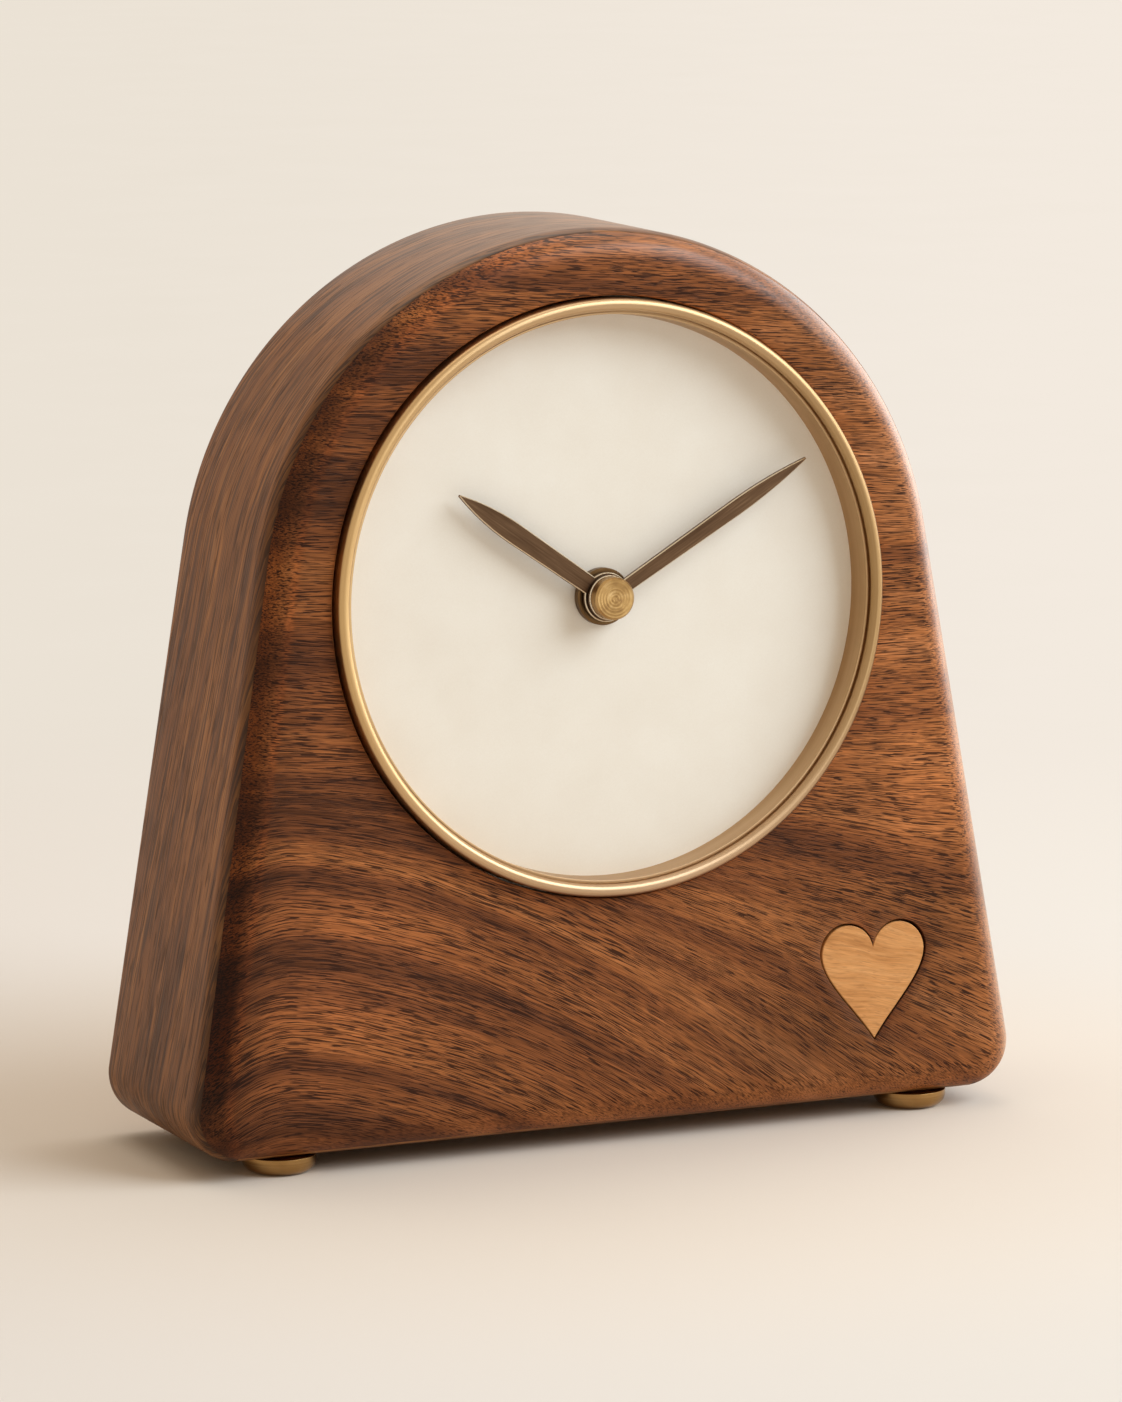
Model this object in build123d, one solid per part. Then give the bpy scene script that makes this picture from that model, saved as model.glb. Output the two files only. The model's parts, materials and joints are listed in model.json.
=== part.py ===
from build123d import *
import os
from math import cos, radians, sin, tan

# Clock as a whole, in millimetres and degrees
overall_height = 160.0
case_depth = 47.0
arch_radius = 64.4
side_taper = 9.2
front_lean = 3.0
cut_overrun = 3.0

# Case timber
base_corner_radius = 8.4
front_roundover = 6.4
back_edge_radius = 2.5
wall = 9.0
base_thickness = 12.0
lip_thickness = 3.2
web_thickness = 4.0
joint_clearance = 0.1

# Back panel and its screws
panel_thickness = 4.0
panel_recess = 1.0
rebate_width = 4.5
access_margin = 3.5
access_corner_radius = 8.0
panel_screw_height = 26.0
panel_screw_angle = 50.0
panel_screw_radius = 1.0
panel_screw_head_radius = 2.0
panel_screw_length = 13.0

# Brass feet and their screws
foot_height = 3.1
foot_radius = 6.5
foot_edge_radius = 2.3
foot_spread_share = 0.95
foot_setback = 9.2
foot_screw_radius = 1.5
foot_screw_head_radius = 2.8
foot_screw_head_height = 1.3
foot_screw_length = 9.5

# Heart inlay
heart_width = 21.0
heart_height = 21.3
heart_x_share = 0.7715
heart_rise = 11.35
heart_depth = 2.4
heart_groove = 0.4
heart_lobe_share = 0.53
heart_notch_share = 0.2
heart_side_share = 0.24
heart_side_handle_share = 0.47
heart_tip_handle_shares = (0.36, 0.73)

# Bezel ring and dial
dial_rise = 0.8
dial_setback = 4.8
dial_thickness = 1.0
bezel_margin = 3.4
bezel_proud = 2.3
bezel_lip_width = 2.2
bezel_groove_width = 0.25
bezel_groove_depth = 0.5
bezel_ledge_width = 0.35
bezel_ledge_drop = 0.5
bezel_wall_draft = 0.2
bezel_gap = 0.4

# Hands
hour_time = 10
minute_time = 10
hand_thickness = 0.8
hand_gap = 0.35
hour_length_share = 0.682
hour_root_width = 3.2
hour_shoulder_width = 3.7
minute_length_share = 0.906
minute_root_width = 2.4
minute_shoulder_width = 2.9
hand_shoulder_share = 0.62
hand_tip_width = 0.3
hour_hub_radius = 4.3
minute_hub_radius = 3.9
cap_radius = 3.7
cap_height = 2.3
cap_chamfer = 0.35
cap_thread_radius = 1.1
cap_thread_length = 1.4

# Movement case
movement_width = 56.0
movement_corner_radius = 4.0
housing_depth = 15.0
front_wall = 1.5
side_wall = 1.2
cover_thickness = 1.5
gasket_thickness = 0.8
gasket_inset = 6.0
bush_radius = 4.0
washer_thickness = 0.3
washer_radius = 4.8
nut_thickness = 1.6
nut_radius = 5.0
nut_chamfer = 0.25
nut_slot_width = 1.0
nut_slot_depth = 0.7

# Battery cell and its contacts
cell_radius_share = 0.1436
cell_nub_radius = 2.75
cell_nub_length = 1.3
cell_clearance = 0.3
contact_thickness = 0.4
contact_bow = 2.3
contact_width = 9.0
contact_height_share = 1.15

# Wheels, with the tooth form as shares of the module and of the tooth pitch
wheel_thickness = 0.9
level_gap = 0.6
plate_thickness = 1.0
arbor_radius = 0.6
pivot_clearance = 0.05
pivot_depth = 0.9
addendum_share = 0.8
dedendum_share = 1.3
tooth_root_share = 0.56
tooth_tip_share = 0.2
centre_teeth = 64
third_pinion_teeth = 8
third_teeth = 60
fourth_pinion_teeth = 8
fourth_teeth = 50
intermediate_pinion_teeth = 10
intermediate_teeth = 48
rotor_pinion_teeth = 8
cannon_teeth = 12
minute_wheel_teeth = 36
minute_pinion_teeth = 10
hour_wheel_teeth = 40
setting_pinion_teeth = 12

# Distances from axis to axis, as shares of the movement's width, and their angles
third_distance_share = 0.193
third_angle = 125.0
intermediate_distance_share = 0.1875
intermediate_angle = 55.0
rotor_distance_share = 0.14
rotor_angle = 60.0
minute_wheel_distance_share = 0.1715
minute_wheel_angle = 0.0
setting_angle = 0.0

# Centre arbors, one inside the other
seconds_radius = 0.5
minute_radius = 1.5
hour_pipe_radius = 2.5
minute_journal_radius = 2.0
collar_radius = 2.3
collar_thickness = 0.5

# Stepping motor and circuit, in plan as shares of the movement's width
magnet_radius_share = 0.0536
magnet_length = 2.2
magnet_gap = 0.4
stator_thickness = 0.8
stator_width_share = 0.464
stator_bar_share = 0.136
stator_leg_share = 0.064
stator_post_radius = 1.2
stator_height_share = 0.243
core_thickness = 0.8
core_width_share = 0.05
coil_radius_share = 0.054
coil_length_share = 0.286
bobbin_wall = 0.5
bobbin_flange = 0.8
board_width_share = 0.304
board_height_share = 0.214
board_inset = 1.0
board_thickness = 0.8
chip_radius = 2.4
chip_height = 0.7
crystal_radius = 1.5
crystal_length = 6.0

# Hand setting
stem_radius = 1.0
knob_radius = 6.0
knob_thickness = 4.5
knob_gap = 0.5
knob_flutes = 18
knob_flute_radius = 0.6

# Places worked out from the sizes above
lean = radians(front_lean)
front_edge = -case_depth / 2
base_top = foot_height + base_thickness
arch_centre = overall_height - arch_radius
dial_height = arch_centre + dial_rise
foot_spread = foot_spread_share * arch_radius
heart_x = heart_x_share * arch_radius
bezel_radius = arch_radius - wall - bezel_margin
bezel_lip_inner = bezel_radius - bezel_lip_width
bezel_groove_inner = bezel_lip_inner - bezel_groove_width
bezel_ledge_inner = bezel_groove_inner - bezel_ledge_width
dial_opening_radius = bezel_ledge_inner - bezel_wall_draft
hour_turn = (hour_time + minute_time / 60) * 360 / 12
hour_length = hour_length_share * dial_opening_radius
minute_length = minute_length_share * dial_opening_radius
recess_depth = dial_setback + dial_thickness
front_board_thickness = recess_depth + web_thickness
towards_viewer = (0, -cos(lean), sin(lean))
front_plane = Plane(origin=(0, front_edge, foot_height), x_dir=(1, 0, 0), z_dir=towards_viewer)
dial_reach = (dial_height - foot_height) / cos(lean)
face_plane = front_plane * Pos(0, dial_reach, 0)
back_plane = Plane(origin=(0, case_depth / 2, 0), x_dir=(1, 0, 0), z_dir=(0, -1, 0))
movement_drop = front_board_thickness + gasket_thickness
movement_place = face_plane * Pos(0, 0, -movement_drop)

hour_level = front_wall + level_gap
motion_level = hour_level + wheel_thickness + level_gap
plate_level = motion_level + wheel_thickness + level_gap
centre_level = plate_level + plate_thickness + level_gap
third_level = centre_level + wheel_thickness + level_gap
fourth_level = third_level + wheel_thickness + level_gap
intermediate_level = fourth_level + wheel_thickness + level_gap
rear_pivot_level = housing_depth + pivot_depth

bush_bore_radius = hour_pipe_radius + pivot_clearance
bush_length = gasket_thickness + web_thickness + dial_thickness + washer_thickness + nut_thickness
hour_hand_seat = bush_length + hand_gap
minute_hand_seat = hour_hand_seat + hand_thickness + hand_gap
cap_seat = minute_hand_seat + hand_thickness


def polar(distance, bearing, start=(0, 0)):
    """Point at a distance and bearing in degrees from a start."""
    turn = radians(bearing)
    return start[0] + distance * cos(turn), start[1] + distance * sin(turn)


third_distance = third_distance_share * movement_width
intermediate_distance = intermediate_distance_share * movement_width
rotor_distance = rotor_distance_share * movement_width
minute_wheel_distance = minute_wheel_distance_share * movement_width
minute_wheel_module = 2 * minute_wheel_distance / (cannon_teeth + minute_wheel_teeth)
setting_distance = minute_wheel_module * (minute_wheel_teeth + setting_pinion_teeth) / 2
third_axis = polar(third_distance, third_angle)
intermediate_axis = polar(intermediate_distance, intermediate_angle)
rotor_axis = polar(rotor_distance, rotor_angle, intermediate_axis)
minute_wheel_axis = polar(minute_wheel_distance, minute_wheel_angle)
setting_axis = polar(setting_distance, setting_angle, minute_wheel_axis)

magnet_radius = magnet_radius_share * movement_width
stator_width = stator_width_share * movement_width
stator_bar = stator_bar_share * movement_width
stator_leg = stator_leg_share * movement_width
stator_height = stator_height_share * movement_width
core_width = core_width_share * movement_width
coil_radius = coil_radius_share * movement_width
coil_length = coil_length_share * movement_width
board_width = board_width_share * movement_width
board_height = board_height_share * movement_width
board_x = side_wall + board_inset - movement_width / 2 + board_width / 2
board_y = movement_width / 2 - side_wall - board_inset - board_height / 2
board_level = housing_depth - board_thickness
stator_level = intermediate_level - level_gap - magnet_gap - stator_thickness
core_level = stator_level + stator_thickness
coil_y = rotor_axis[1] - stator_bar / 2 + stator_height - stator_leg / 2
coil_depth = core_level + core_thickness / 2

gasket_width = movement_width - 2 * gasket_inset
access_width = movement_width + 2 * access_margin
inner_width = movement_width - 2 * side_wall
cell_length = inner_width - contact_bow - 2 * contact_thickness
cell_radius = cell_radius_share * cell_length
contact_height = contact_height_share * cell_radius
cell_y = side_wall + cell_clearance + cell_radius - movement_width / 2
cell_depth = front_wall + cell_clearance + cell_radius
bay_wall_top = cell_y + cell_radius + cell_clearance + side_wall


def front_y(height):
    """Y of the front face at a height."""
    return front_edge + (height - foot_height) * tan(lean)


def bar(radius, low, high, centre=(0, 0)):
    """Round bar along Z between two heights."""
    solid = Cylinder(radius, high - low, align=(Align.CENTER, Align.CENTER, Align.MIN))
    return Pos(*centre, low) * solid


def arch_profile(inset, bottom):
    """Arch with tapered sides, drawn in by an inset and cut off level at the bottom."""
    radius = arch_radius - inset
    taper = radians(side_taper)
    spring = (radius * cos(taper), arch_centre + radius * sin(taper))
    heel = (spring[0] + (spring[1] - bottom) * tan(taper), bottom)
    arch = ThreePointArc((-spring[0], spring[1]), (0, arch_centre + radius), spring)
    sides = Polyline(spring, heel, (-heel[0], bottom), (-spring[0], spring[1]))
    return make_face(arch.edges() + sides.edges())


def arch_prism(inset, bottom, depth):
    """Arch profile carried forward from the back of the case."""
    return extrude(back_plane * arch_profile(inset, bottom), amount=depth)


def behind(solid, setback):
    """What lies further back than a setback from the front face."""
    return split(solid, bisect_by=front_plane.offset(-setback), keep=Keep.BOTTOM)


def ahead(solid, setback):
    """What lies further forward than a setback from the front face."""
    return split(solid, bisect_by=front_plane.offset(-setback), keep=Keep.TOP)


def case_blank():
    """Outer form of the case: arch with a leaning front and rounded edges."""
    profile = arch_profile(0, foot_height)
    profile = fillet(profile.vertices().sort_by(Axis.Y)[:2], base_corner_radius)
    blank = extrude(back_plane * profile, amount=case_depth + cut_overrun)
    blank = behind(blank, 0)
    blank = fillet(blank.faces().sort_by(Axis.Y)[0].edges(), front_roundover)
    return fillet(blank.faces().sort_by(Axis.Y)[-1].edges(), back_edge_radius)


def heart_profile():
    """Heart with its top edge on the X axis: round lobes, sides that run in to the point."""
    half = heart_width / 2
    notch = (0, -heart_notch_share * heart_height)
    top = heart_lobe_share * half
    side = -heart_side_share * heart_height
    side_handle = (half, -heart_side_handle_share * heart_height)
    tip_handle = (heart_tip_handle_shares[0] * half, -heart_tip_handle_shares[1] * heart_height)
    lobe = ThreePointArc(notch, (top, 0), (half, side))
    flank = Bezier((half, side), side_handle, tip_handle, (0, -heart_height))
    middle = Line((0, -heart_height), notch)
    right = make_face(lobe.edges() + flank.edges() + middle.edges())
    return right + mirror(right, about=Plane.YZ)


def heart_solid(profile, depth, rise):
    """Heart outline carried from a depth below the front face to a rise above it."""
    solid = extrude(profile, amount=depth + rise)
    return front_plane * Pos(heart_x, heart_rise + heart_height, -depth) * solid


def heart_inlay():
    """Inlay flush with the front face, a fine groove smaller than its pocket."""
    shrink = 1 - 2 * heart_groove / heart_width
    profile = Pos(0, (shrink - 1) * heart_height / 2) * scale(heart_profile(), by=shrink)
    return heart_solid(profile, heart_depth, 0)


def front_board(blank):
    """Front with a lip over the band and a thicker middle that plugs into it."""
    plug = arch_prism(wall + joint_clearance, base_top + joint_clearance, case_depth)
    plug = ahead(behind(plug, lip_thickness), front_board_thickness)
    board = ahead(blank, lip_thickness) + plug
    board -= face_plane * bar(bezel_radius + bezel_gap, -recess_depth, cut_overrun)
    board -= face_plane * bar(bush_radius + joint_clearance, -front_board_thickness - cut_overrun, 0)
    return board - heart_solid(heart_profile(), heart_depth, cut_overrun)


def panel_rebate():
    """Step round the back that the panel drops into."""
    depth = panel_thickness + panel_recess
    return arch_prism(wall - rebate_width, base_top - rebate_width, depth)


def panel_screw_places():
    """Screw centres on the middle of the rebate, as X and height."""
    ledge = wall - rebate_width / 2
    radius = arch_radius - ledge
    taper = radians(side_taper)
    arch_x, arch_z = polar(radius, panel_screw_angle, (0, arch_centre))
    rise = arch_centre + radius * sin(taper) - panel_screw_height
    leg_x = radius * cos(taper) + rise * tan(taper)
    right = [(arch_x, arch_z), (leg_x, panel_screw_height)]
    return right + [(-x, z) for x, z in right]


def screw_solid(head_radius, head_height, radius, length):
    """Countersunk screw, head up at the origin and shank along -Z to a point."""
    head = Cone(radius, head_radius, head_height, align=(Align.CENTER, Align.CENTER, Align.MAX))
    shank = bar(radius, radius - length, -head_height)
    tip = Cone(0, radius, radius, align=(Align.CENTER, Align.CENTER, Align.MIN))
    return head + shank + Pos(0, 0, -length) * tip


def panel_screw_holes(solid, clearance):
    """Screw-shaped holes in a piece behind the panel's outer face."""
    for place in panel_screws(clearance):
        solid -= place
    return solid


def panel_screws(clearance):
    """Four screws sunk flush in the back panel."""
    head_height = panel_screw_head_radius - panel_screw_radius
    screw = screw_solid(
        panel_screw_head_radius + clearance,
        head_height,
        panel_screw_radius + clearance,
        panel_screw_length + clearance,
    )
    seat = back_plane * Pos(0, 0, panel_recess) * Rot(180, 0, 0)
    return [seat * Pos(x, -z, 0) * screw for x, z in panel_screw_places()]


def case_band(blank):
    """Legs and arch in one bent piece, rebated at the back."""
    band = behind(blank, lip_thickness)
    band -= arch_prism(wall, foot_height - cut_overrun, case_depth + cut_overrun)
    band -= panel_rebate()
    return panel_screw_holes(band, joint_clearance)


def base_board(blank):
    """Board between the legs, drilled for the feet."""
    board = behind(blank, lip_thickness)
    board &= arch_prism(wall, foot_height - cut_overrun, case_depth + cut_overrun)
    board = split(board, bisect_by=Plane.XY.offset(base_top), keep=Keep.BOTTOM)
    board -= panel_rebate()
    for screw in foot_screws(joint_clearance):
        board -= screw
    return board


def back_panel():
    """Thin panel in the rebate, open behind the movement."""
    inset = wall - rebate_width + joint_clearance
    panel = arch_prism(inset, base_top - rebate_width + joint_clearance, panel_thickness + panel_recess)
    panel -= arch_prism(-cut_overrun, -cut_overrun, panel_recess)
    window = RectangleRounded(access_width, access_width, access_corner_radius)
    drop = (case_depth + front_edge - front_y(dial_height)) * tan(lean)
    opening = extrude(window, amount=panel_thickness + panel_recess + cut_overrun)
    panel -= back_plane * Pos(0, dial_height - drop, 0) * opening
    return panel_screw_holes(panel, joint_clearance)


def foot_places():
    """Foot centres by name."""
    front = front_edge + foot_setback
    rear = -front
    return {
        "front_left": (-foot_spread, front),
        "front_right": (foot_spread, front),
        "rear_left": (-foot_spread, rear),
        "rear_right": (foot_spread, rear),
    }


def foot():
    """Turned disc with a rounded lower edge and a sunk screw hole."""
    disc = bar(foot_radius, 0, foot_height)
    disc = fillet(disc.edges().sort_by(Axis.Z)[0], foot_edge_radius)
    disc -= bar(foot_screw_radius + joint_clearance, 0, foot_height)
    sink = foot_screw_head_height + joint_clearance
    return disc - bar(foot_screw_head_radius + joint_clearance, 0, sink)


def foot_screws(clearance):
    """Four cheese-head screws up through the feet."""
    head_top = foot_screw_head_height + joint_clearance
    head = bar(foot_screw_head_radius, joint_clearance, head_top)
    reach = head_top + foot_screw_length + clearance
    screw = head + bar(foot_screw_radius + clearance, head_top, reach)
    return [Pos(x, y, 0) * screw for x, y in foot_places().values()]


def bezel_ring():
    """Turned ring: half-round lip, fine groove and ledge, then a wall down to the dial."""
    lip_radius = bezel_lip_width / 2
    lip_base = bezel_proud - lip_radius
    lip_outer_foot = (bezel_radius, lip_base)
    lip_inner_foot = (bezel_lip_inner, lip_base)
    lip = ThreePointArc(lip_outer_foot, (bezel_radius - lip_radius, bezel_proud), lip_inner_foot)
    ledge = lip_base - bezel_ledge_drop
    rest = Polyline(
        lip_inner_foot,
        (bezel_lip_inner, ledge - bezel_groove_depth),
        (bezel_groove_inner, ledge - bezel_groove_depth),
        (bezel_groove_inner, ledge),
        (bezel_ledge_inner, ledge),
        (dial_opening_radius, -dial_setback),
        (bezel_radius, -dial_setback),
        lip_outer_foot,
    )
    profile = make_face(lip.edges() + rest.edges())
    return face_plane * revolve(Plane.XZ * profile, axis=Axis.Z)


def dial():
    """Plain disc on the bottom of the recess."""
    disc = bar(bezel_radius + bezel_gap - joint_clearance, -recess_depth, -dial_setback)
    return face_plane * (disc - bar(bush_radius + joint_clearance, -recess_depth, -dial_setback))


def hand_blade(length, root_width, shoulder_width):
    """Leaf along +Y: sides that widen to a shoulder, then arcs drawn in to the tip."""
    shoulder = (shoulder_width / 2, hand_shoulder_share * length)
    tip = (hand_tip_width / 2, length)
    side = Line((root_width / 2, 0), shoulder)
    draw_in = TangentArc(shoulder, tip, tangent=side % 1)
    right = side.edges() + draw_in.edges()
    ends = Line((-root_width / 2, 0), (root_width / 2, 0)).edges() + Line((-tip[0], length), tip).edges()
    return make_face(right + [edge.mirror(Plane.YZ) for edge in right] + ends)


def hand(blade, turn, hub_radius, bore_radius, seat):
    """Blade and round hub of one thickness, turned clockwise from twelve."""
    solid = extrude(blade, amount=hand_thickness) + bar(hub_radius, 0, hand_thickness)
    solid -= bar(bore_radius, 0, hand_thickness)
    return movement_place * Pos(0, 0, seat) * Rot(0, 0, -turn) * solid


def hour_hand():
    blade = hand_blade(hour_length, hour_root_width, hour_shoulder_width)
    return hand(blade, hour_turn, hour_hub_radius, hour_pipe_radius, hour_hand_seat)


def minute_hand():
    blade = hand_blade(minute_length, minute_root_width, minute_shoulder_width)
    return hand(blade, minute_time * 360 / 60, minute_hub_radius, minute_radius, minute_hand_seat)


def cap_nut():
    """Blind round nut on the minute arbor's thread."""
    cap = bar(cap_radius, cap_seat, cap_seat + cap_height)
    cap = chamfer(cap.edges().sort_by(Axis.Z)[-1], cap_chamfer)
    return movement_place * (cap - bar(cap_thread_radius, cap_seat, cap_seat + cap_thread_length))


def gear_profile(teeth, module, turn):
    """Straight-flanked teeth, one of them centred on a bearing in degrees."""
    pitch = 360 / teeth
    root = (teeth / 2 - dedendum_share) * module
    tip = (teeth / 2 + addendum_share) * module
    points = []
    for tooth in range(teeth):
        middle = turn + tooth * pitch
        points.append(polar(root, middle - tooth_root_share * pitch / 2))
        points.append(polar(tip, middle - tooth_tip_share * pitch / 2))
        points.append(polar(tip, middle + tooth_tip_share * pitch / 2))
        points.append(polar(root, middle + tooth_root_share * pitch / 2))
    return make_face(Polyline(*points, close=True))


def wheel(teeth, module, turn, level, thickness):
    """Toothed disc whose front lies at a depth behind the movement's front."""
    return Pos(0, 0, -level - thickness) * extrude(gear_profile(teeth, module, turn), amount=thickness)


def mesh_module(distance, teeth, mate_teeth):
    """Module that puts two wheels in mesh at a distance."""
    return 2 * distance / (teeth + mate_teeth)


def mating_turn(teeth, turn, bearing, mate_teeth):
    """Turn of a mate that sets its gap against this wheel's tooth on the line of centres."""
    along = (bearing - turn) * teeth / 360
    return bearing + 180 - (1 / 2 - along) * 360 / mate_teeth


def pivoted(axis, solid, front, back):
    """Wheel work on a plain arbor between two depths, moved to its axis."""
    return movement_place * Pos(*axis, 0) * (solid + bar(arbor_radius, -back, -front))


def minute_arbor():
    """Hollow arbor with the cannon pinion, a journal, a collar behind the centre wheel and a thread."""
    collar_front = centre_level + wheel_thickness + pivot_clearance
    arbor = bar(minute_radius, -collar_front - collar_thickness, cap_seat)
    arbor += bar(minute_journal_radius, -centre_level + pivot_clearance, -motion_level)
    arbor += wheel(cannon_teeth, minute_wheel_module, 0, motion_level, wheel_thickness)
    arbor += bar(collar_radius, -collar_front - collar_thickness, -collar_front)
    arbor += bar(cap_thread_radius, cap_seat, cap_seat + cap_thread_length)
    bore = bar(seconds_radius + pivot_clearance, -collar_front - collar_thickness, minute_hand_seat)
    return movement_place * (arbor - bore)


def minute_wheel():
    """Wheel driven by the cannon pinion, with the pinion that drives the hour wheel."""
    turn = mating_turn(cannon_teeth, 0, minute_wheel_angle, minute_wheel_teeth)
    work = wheel(minute_wheel_teeth, minute_wheel_module, turn, motion_level, wheel_thickness)
    pinion_module = mesh_module(minute_wheel_distance, minute_pinion_teeth, hour_wheel_teeth)
    work += wheel(minute_pinion_teeth, pinion_module, 0, hour_level, motion_level - hour_level)
    return pivoted(minute_wheel_axis, work, front_wall - pivot_depth, plate_level + plate_thickness)


def hour_wheel():
    """Wheel on the pipe that carries the hour hand."""
    module = mesh_module(minute_wheel_distance, minute_pinion_teeth, hour_wheel_teeth)
    turn = mating_turn(minute_pinion_teeth, 0, minute_wheel_angle + 180, hour_wheel_teeth)
    work = wheel(hour_wheel_teeth, module, turn, hour_level, wheel_thickness)
    pipe_front = hour_hand_seat + hand_thickness
    work += bar(hour_pipe_radius, -hour_level, pipe_front)
    bore = bar(minute_radius + pivot_clearance, -hour_level - wheel_thickness, pipe_front)
    return movement_place * (work - bore)


def centre_wheel():
    """Wheel held on the minute arbor by friction alone, so the hands can be set."""
    module = mesh_module(third_distance, centre_teeth, third_pinion_teeth)
    work = wheel(centre_teeth, module, 0, centre_level, wheel_thickness)
    bore = bar(minute_radius + pivot_clearance, -centre_level - wheel_thickness, -centre_level)
    return movement_place * (work - bore)


def third_wheel():
    """Wheel and pinion between the fourth wheel and the centre wheel."""
    pinion_module = mesh_module(third_distance, centre_teeth, third_pinion_teeth)
    turn = mating_turn(centre_teeth, 0, third_angle, third_pinion_teeth)
    work = wheel(third_pinion_teeth, pinion_module, turn, centre_level, third_level - centre_level)
    module = mesh_module(third_distance, third_teeth, fourth_pinion_teeth)
    work += wheel(third_teeth, module, 0, third_level, wheel_thickness)
    return pivoted(third_axis, work, plate_level, rear_pivot_level)


def fourth_wheel():
    """Wheel turning once a minute, its arbor inside the minute arbor."""
    pinion_module = mesh_module(third_distance, third_teeth, fourth_pinion_teeth)
    turn = mating_turn(third_teeth, 0, third_angle + 180, fourth_pinion_teeth)
    work = wheel(fourth_pinion_teeth, pinion_module, turn, third_level, fourth_level - third_level)
    module = mesh_module(intermediate_distance, fourth_teeth, intermediate_pinion_teeth)
    work += wheel(fourth_teeth, module, 0, fourth_level, wheel_thickness)
    return movement_place * (work + bar(seconds_radius, -rear_pivot_level, 0))


def intermediate_wheel():
    """Wheel and pinion between the rotor and the fourth wheel."""
    pinion_module = mesh_module(intermediate_distance, fourth_teeth, intermediate_pinion_teeth)
    turn = mating_turn(fourth_teeth, 0, intermediate_angle, intermediate_pinion_teeth)
    pinion_length = intermediate_level - fourth_level
    work = wheel(intermediate_pinion_teeth, pinion_module, turn, fourth_level, pinion_length)
    module = mesh_module(rotor_distance, intermediate_teeth, rotor_pinion_teeth)
    work += wheel(intermediate_teeth, module, 0, intermediate_level, wheel_thickness)
    return pivoted(intermediate_axis, work, plate_level, rear_pivot_level)


def rotor():
    """Magnet and pinion of the stepping motor."""
    module = mesh_module(rotor_distance, intermediate_teeth, rotor_pinion_teeth)
    turn = mating_turn(intermediate_teeth, 0, rotor_angle, rotor_pinion_teeth)
    work = wheel(rotor_pinion_teeth, module, turn, intermediate_level, wheel_thickness)
    magnet_back = intermediate_level - level_gap
    work += bar(magnet_radius, -magnet_back, magnet_length - magnet_back)
    return pivoted(rotor_axis, work, plate_level, rear_pivot_level)


def setting_stem():
    """Stem with a pinion in the minute wheel, led out through the cover."""
    wheel_turn = mating_turn(cannon_teeth, 0, minute_wheel_angle, minute_wheel_teeth)
    turn = mating_turn(minute_wheel_teeth, wheel_turn, setting_angle, setting_pinion_teeth)
    work = wheel(setting_pinion_teeth, minute_wheel_module, turn, motion_level, wheel_thickness)
    knob_back = housing_depth + cover_thickness + knob_gap + knob_thickness
    work += bar(stem_radius, -knob_back, -front_wall + pivot_depth)
    return movement_place * Pos(*setting_axis, 0) * work


def setting_knob():
    """Fluted knob behind the cover."""
    front = housing_depth + cover_thickness + knob_gap
    knob = bar(knob_radius, -front - knob_thickness, -front)
    for flute in range(knob_flutes):
        centre = polar(knob_radius, flute * 360 / knob_flutes)
        knob -= bar(knob_flute_radius, -front - knob_thickness, -front, centre)
    knob -= bar(stem_radius, -front - knob_thickness, -front)
    return movement_place * Pos(*setting_axis, 0) * knob


def movement_block(width, corner, front, back):
    """Rounded square block between two depths."""
    return Pos(0, 0, -back) * extrude(RectangleRounded(width, width, corner), amount=back - front)


def inner_block(front, back):
    """Space inside the housing's walls between two depths."""
    return movement_block(inner_width, movement_corner_radius - side_wall, front, back)


def upper_half(solid, floor):
    """What lies above a height in the movement."""
    return split(solid, bisect_by=Plane.XZ.offset(-floor), keep=Keep.BOTTOM)


def lower_half(solid, ceiling):
    """What lies below a height in the movement."""
    return split(solid, bisect_by=Plane.XZ.offset(-ceiling), keep=Keep.TOP)


def movement_housing():
    """Open tub with the threaded bush in front and a bay for the cell below."""
    tub = movement_block(movement_width, movement_corner_radius, 0, housing_depth)
    room = inner_block(front_wall, housing_depth)
    tub -= upper_half(room, bay_wall_top) + lower_half(room, bay_wall_top - side_wall)
    tub += bar(bush_radius, 0, bush_length)
    tub -= bar(bush_bore_radius, -front_wall, bush_length)
    for axis, radius in ((minute_wheel_axis, arbor_radius), (setting_axis, stem_radius)):
        tub -= bar(radius + pivot_clearance, -front_wall, pivot_depth - front_wall, axis)
    return movement_place * tub


def train_plate():
    """Plate across the housing with the front pivots and two posts for the stator."""
    plate = upper_half(inner_block(plate_level, plate_level + plate_thickness), bay_wall_top)
    back = -plate_level - plate_thickness
    plate -= bar(minute_journal_radius + pivot_clearance, back, -plate_level)
    for side in (-1, 1):
        leg = (rotor_axis[0] + side * (stator_width - stator_leg) / 2, coil_y)
        plate += bar(stator_post_radius, -stator_level, back, leg)
    for axis in (third_axis, intermediate_axis, rotor_axis, minute_wheel_axis):
        plate -= bar(arbor_radius + pivot_clearance, back, -plate_level, axis)
    return movement_place * (plate - bar(stem_radius + pivot_clearance, back, -plate_level, setting_axis))


def movement_cover():
    """Rear cover with pivot holes and the cell bay left open."""
    back = housing_depth + cover_thickness
    cover = movement_block(movement_width, movement_corner_radius, housing_depth, back)
    bay = inner_block(housing_depth, back)
    cover -= lower_half(bay, bay_wall_top - side_wall)
    for axis, radius in (
        ((0, 0), seconds_radius),
        (third_axis, arbor_radius),
        (intermediate_axis, arbor_radius),
        (rotor_axis, arbor_radius),
    ):
        cover -= bar(radius + pivot_clearance, -rear_pivot_level, -housing_depth, axis)
    return movement_place * (cover - bar(stem_radius + pivot_clearance, -back, -housing_depth, setting_axis))


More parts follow.
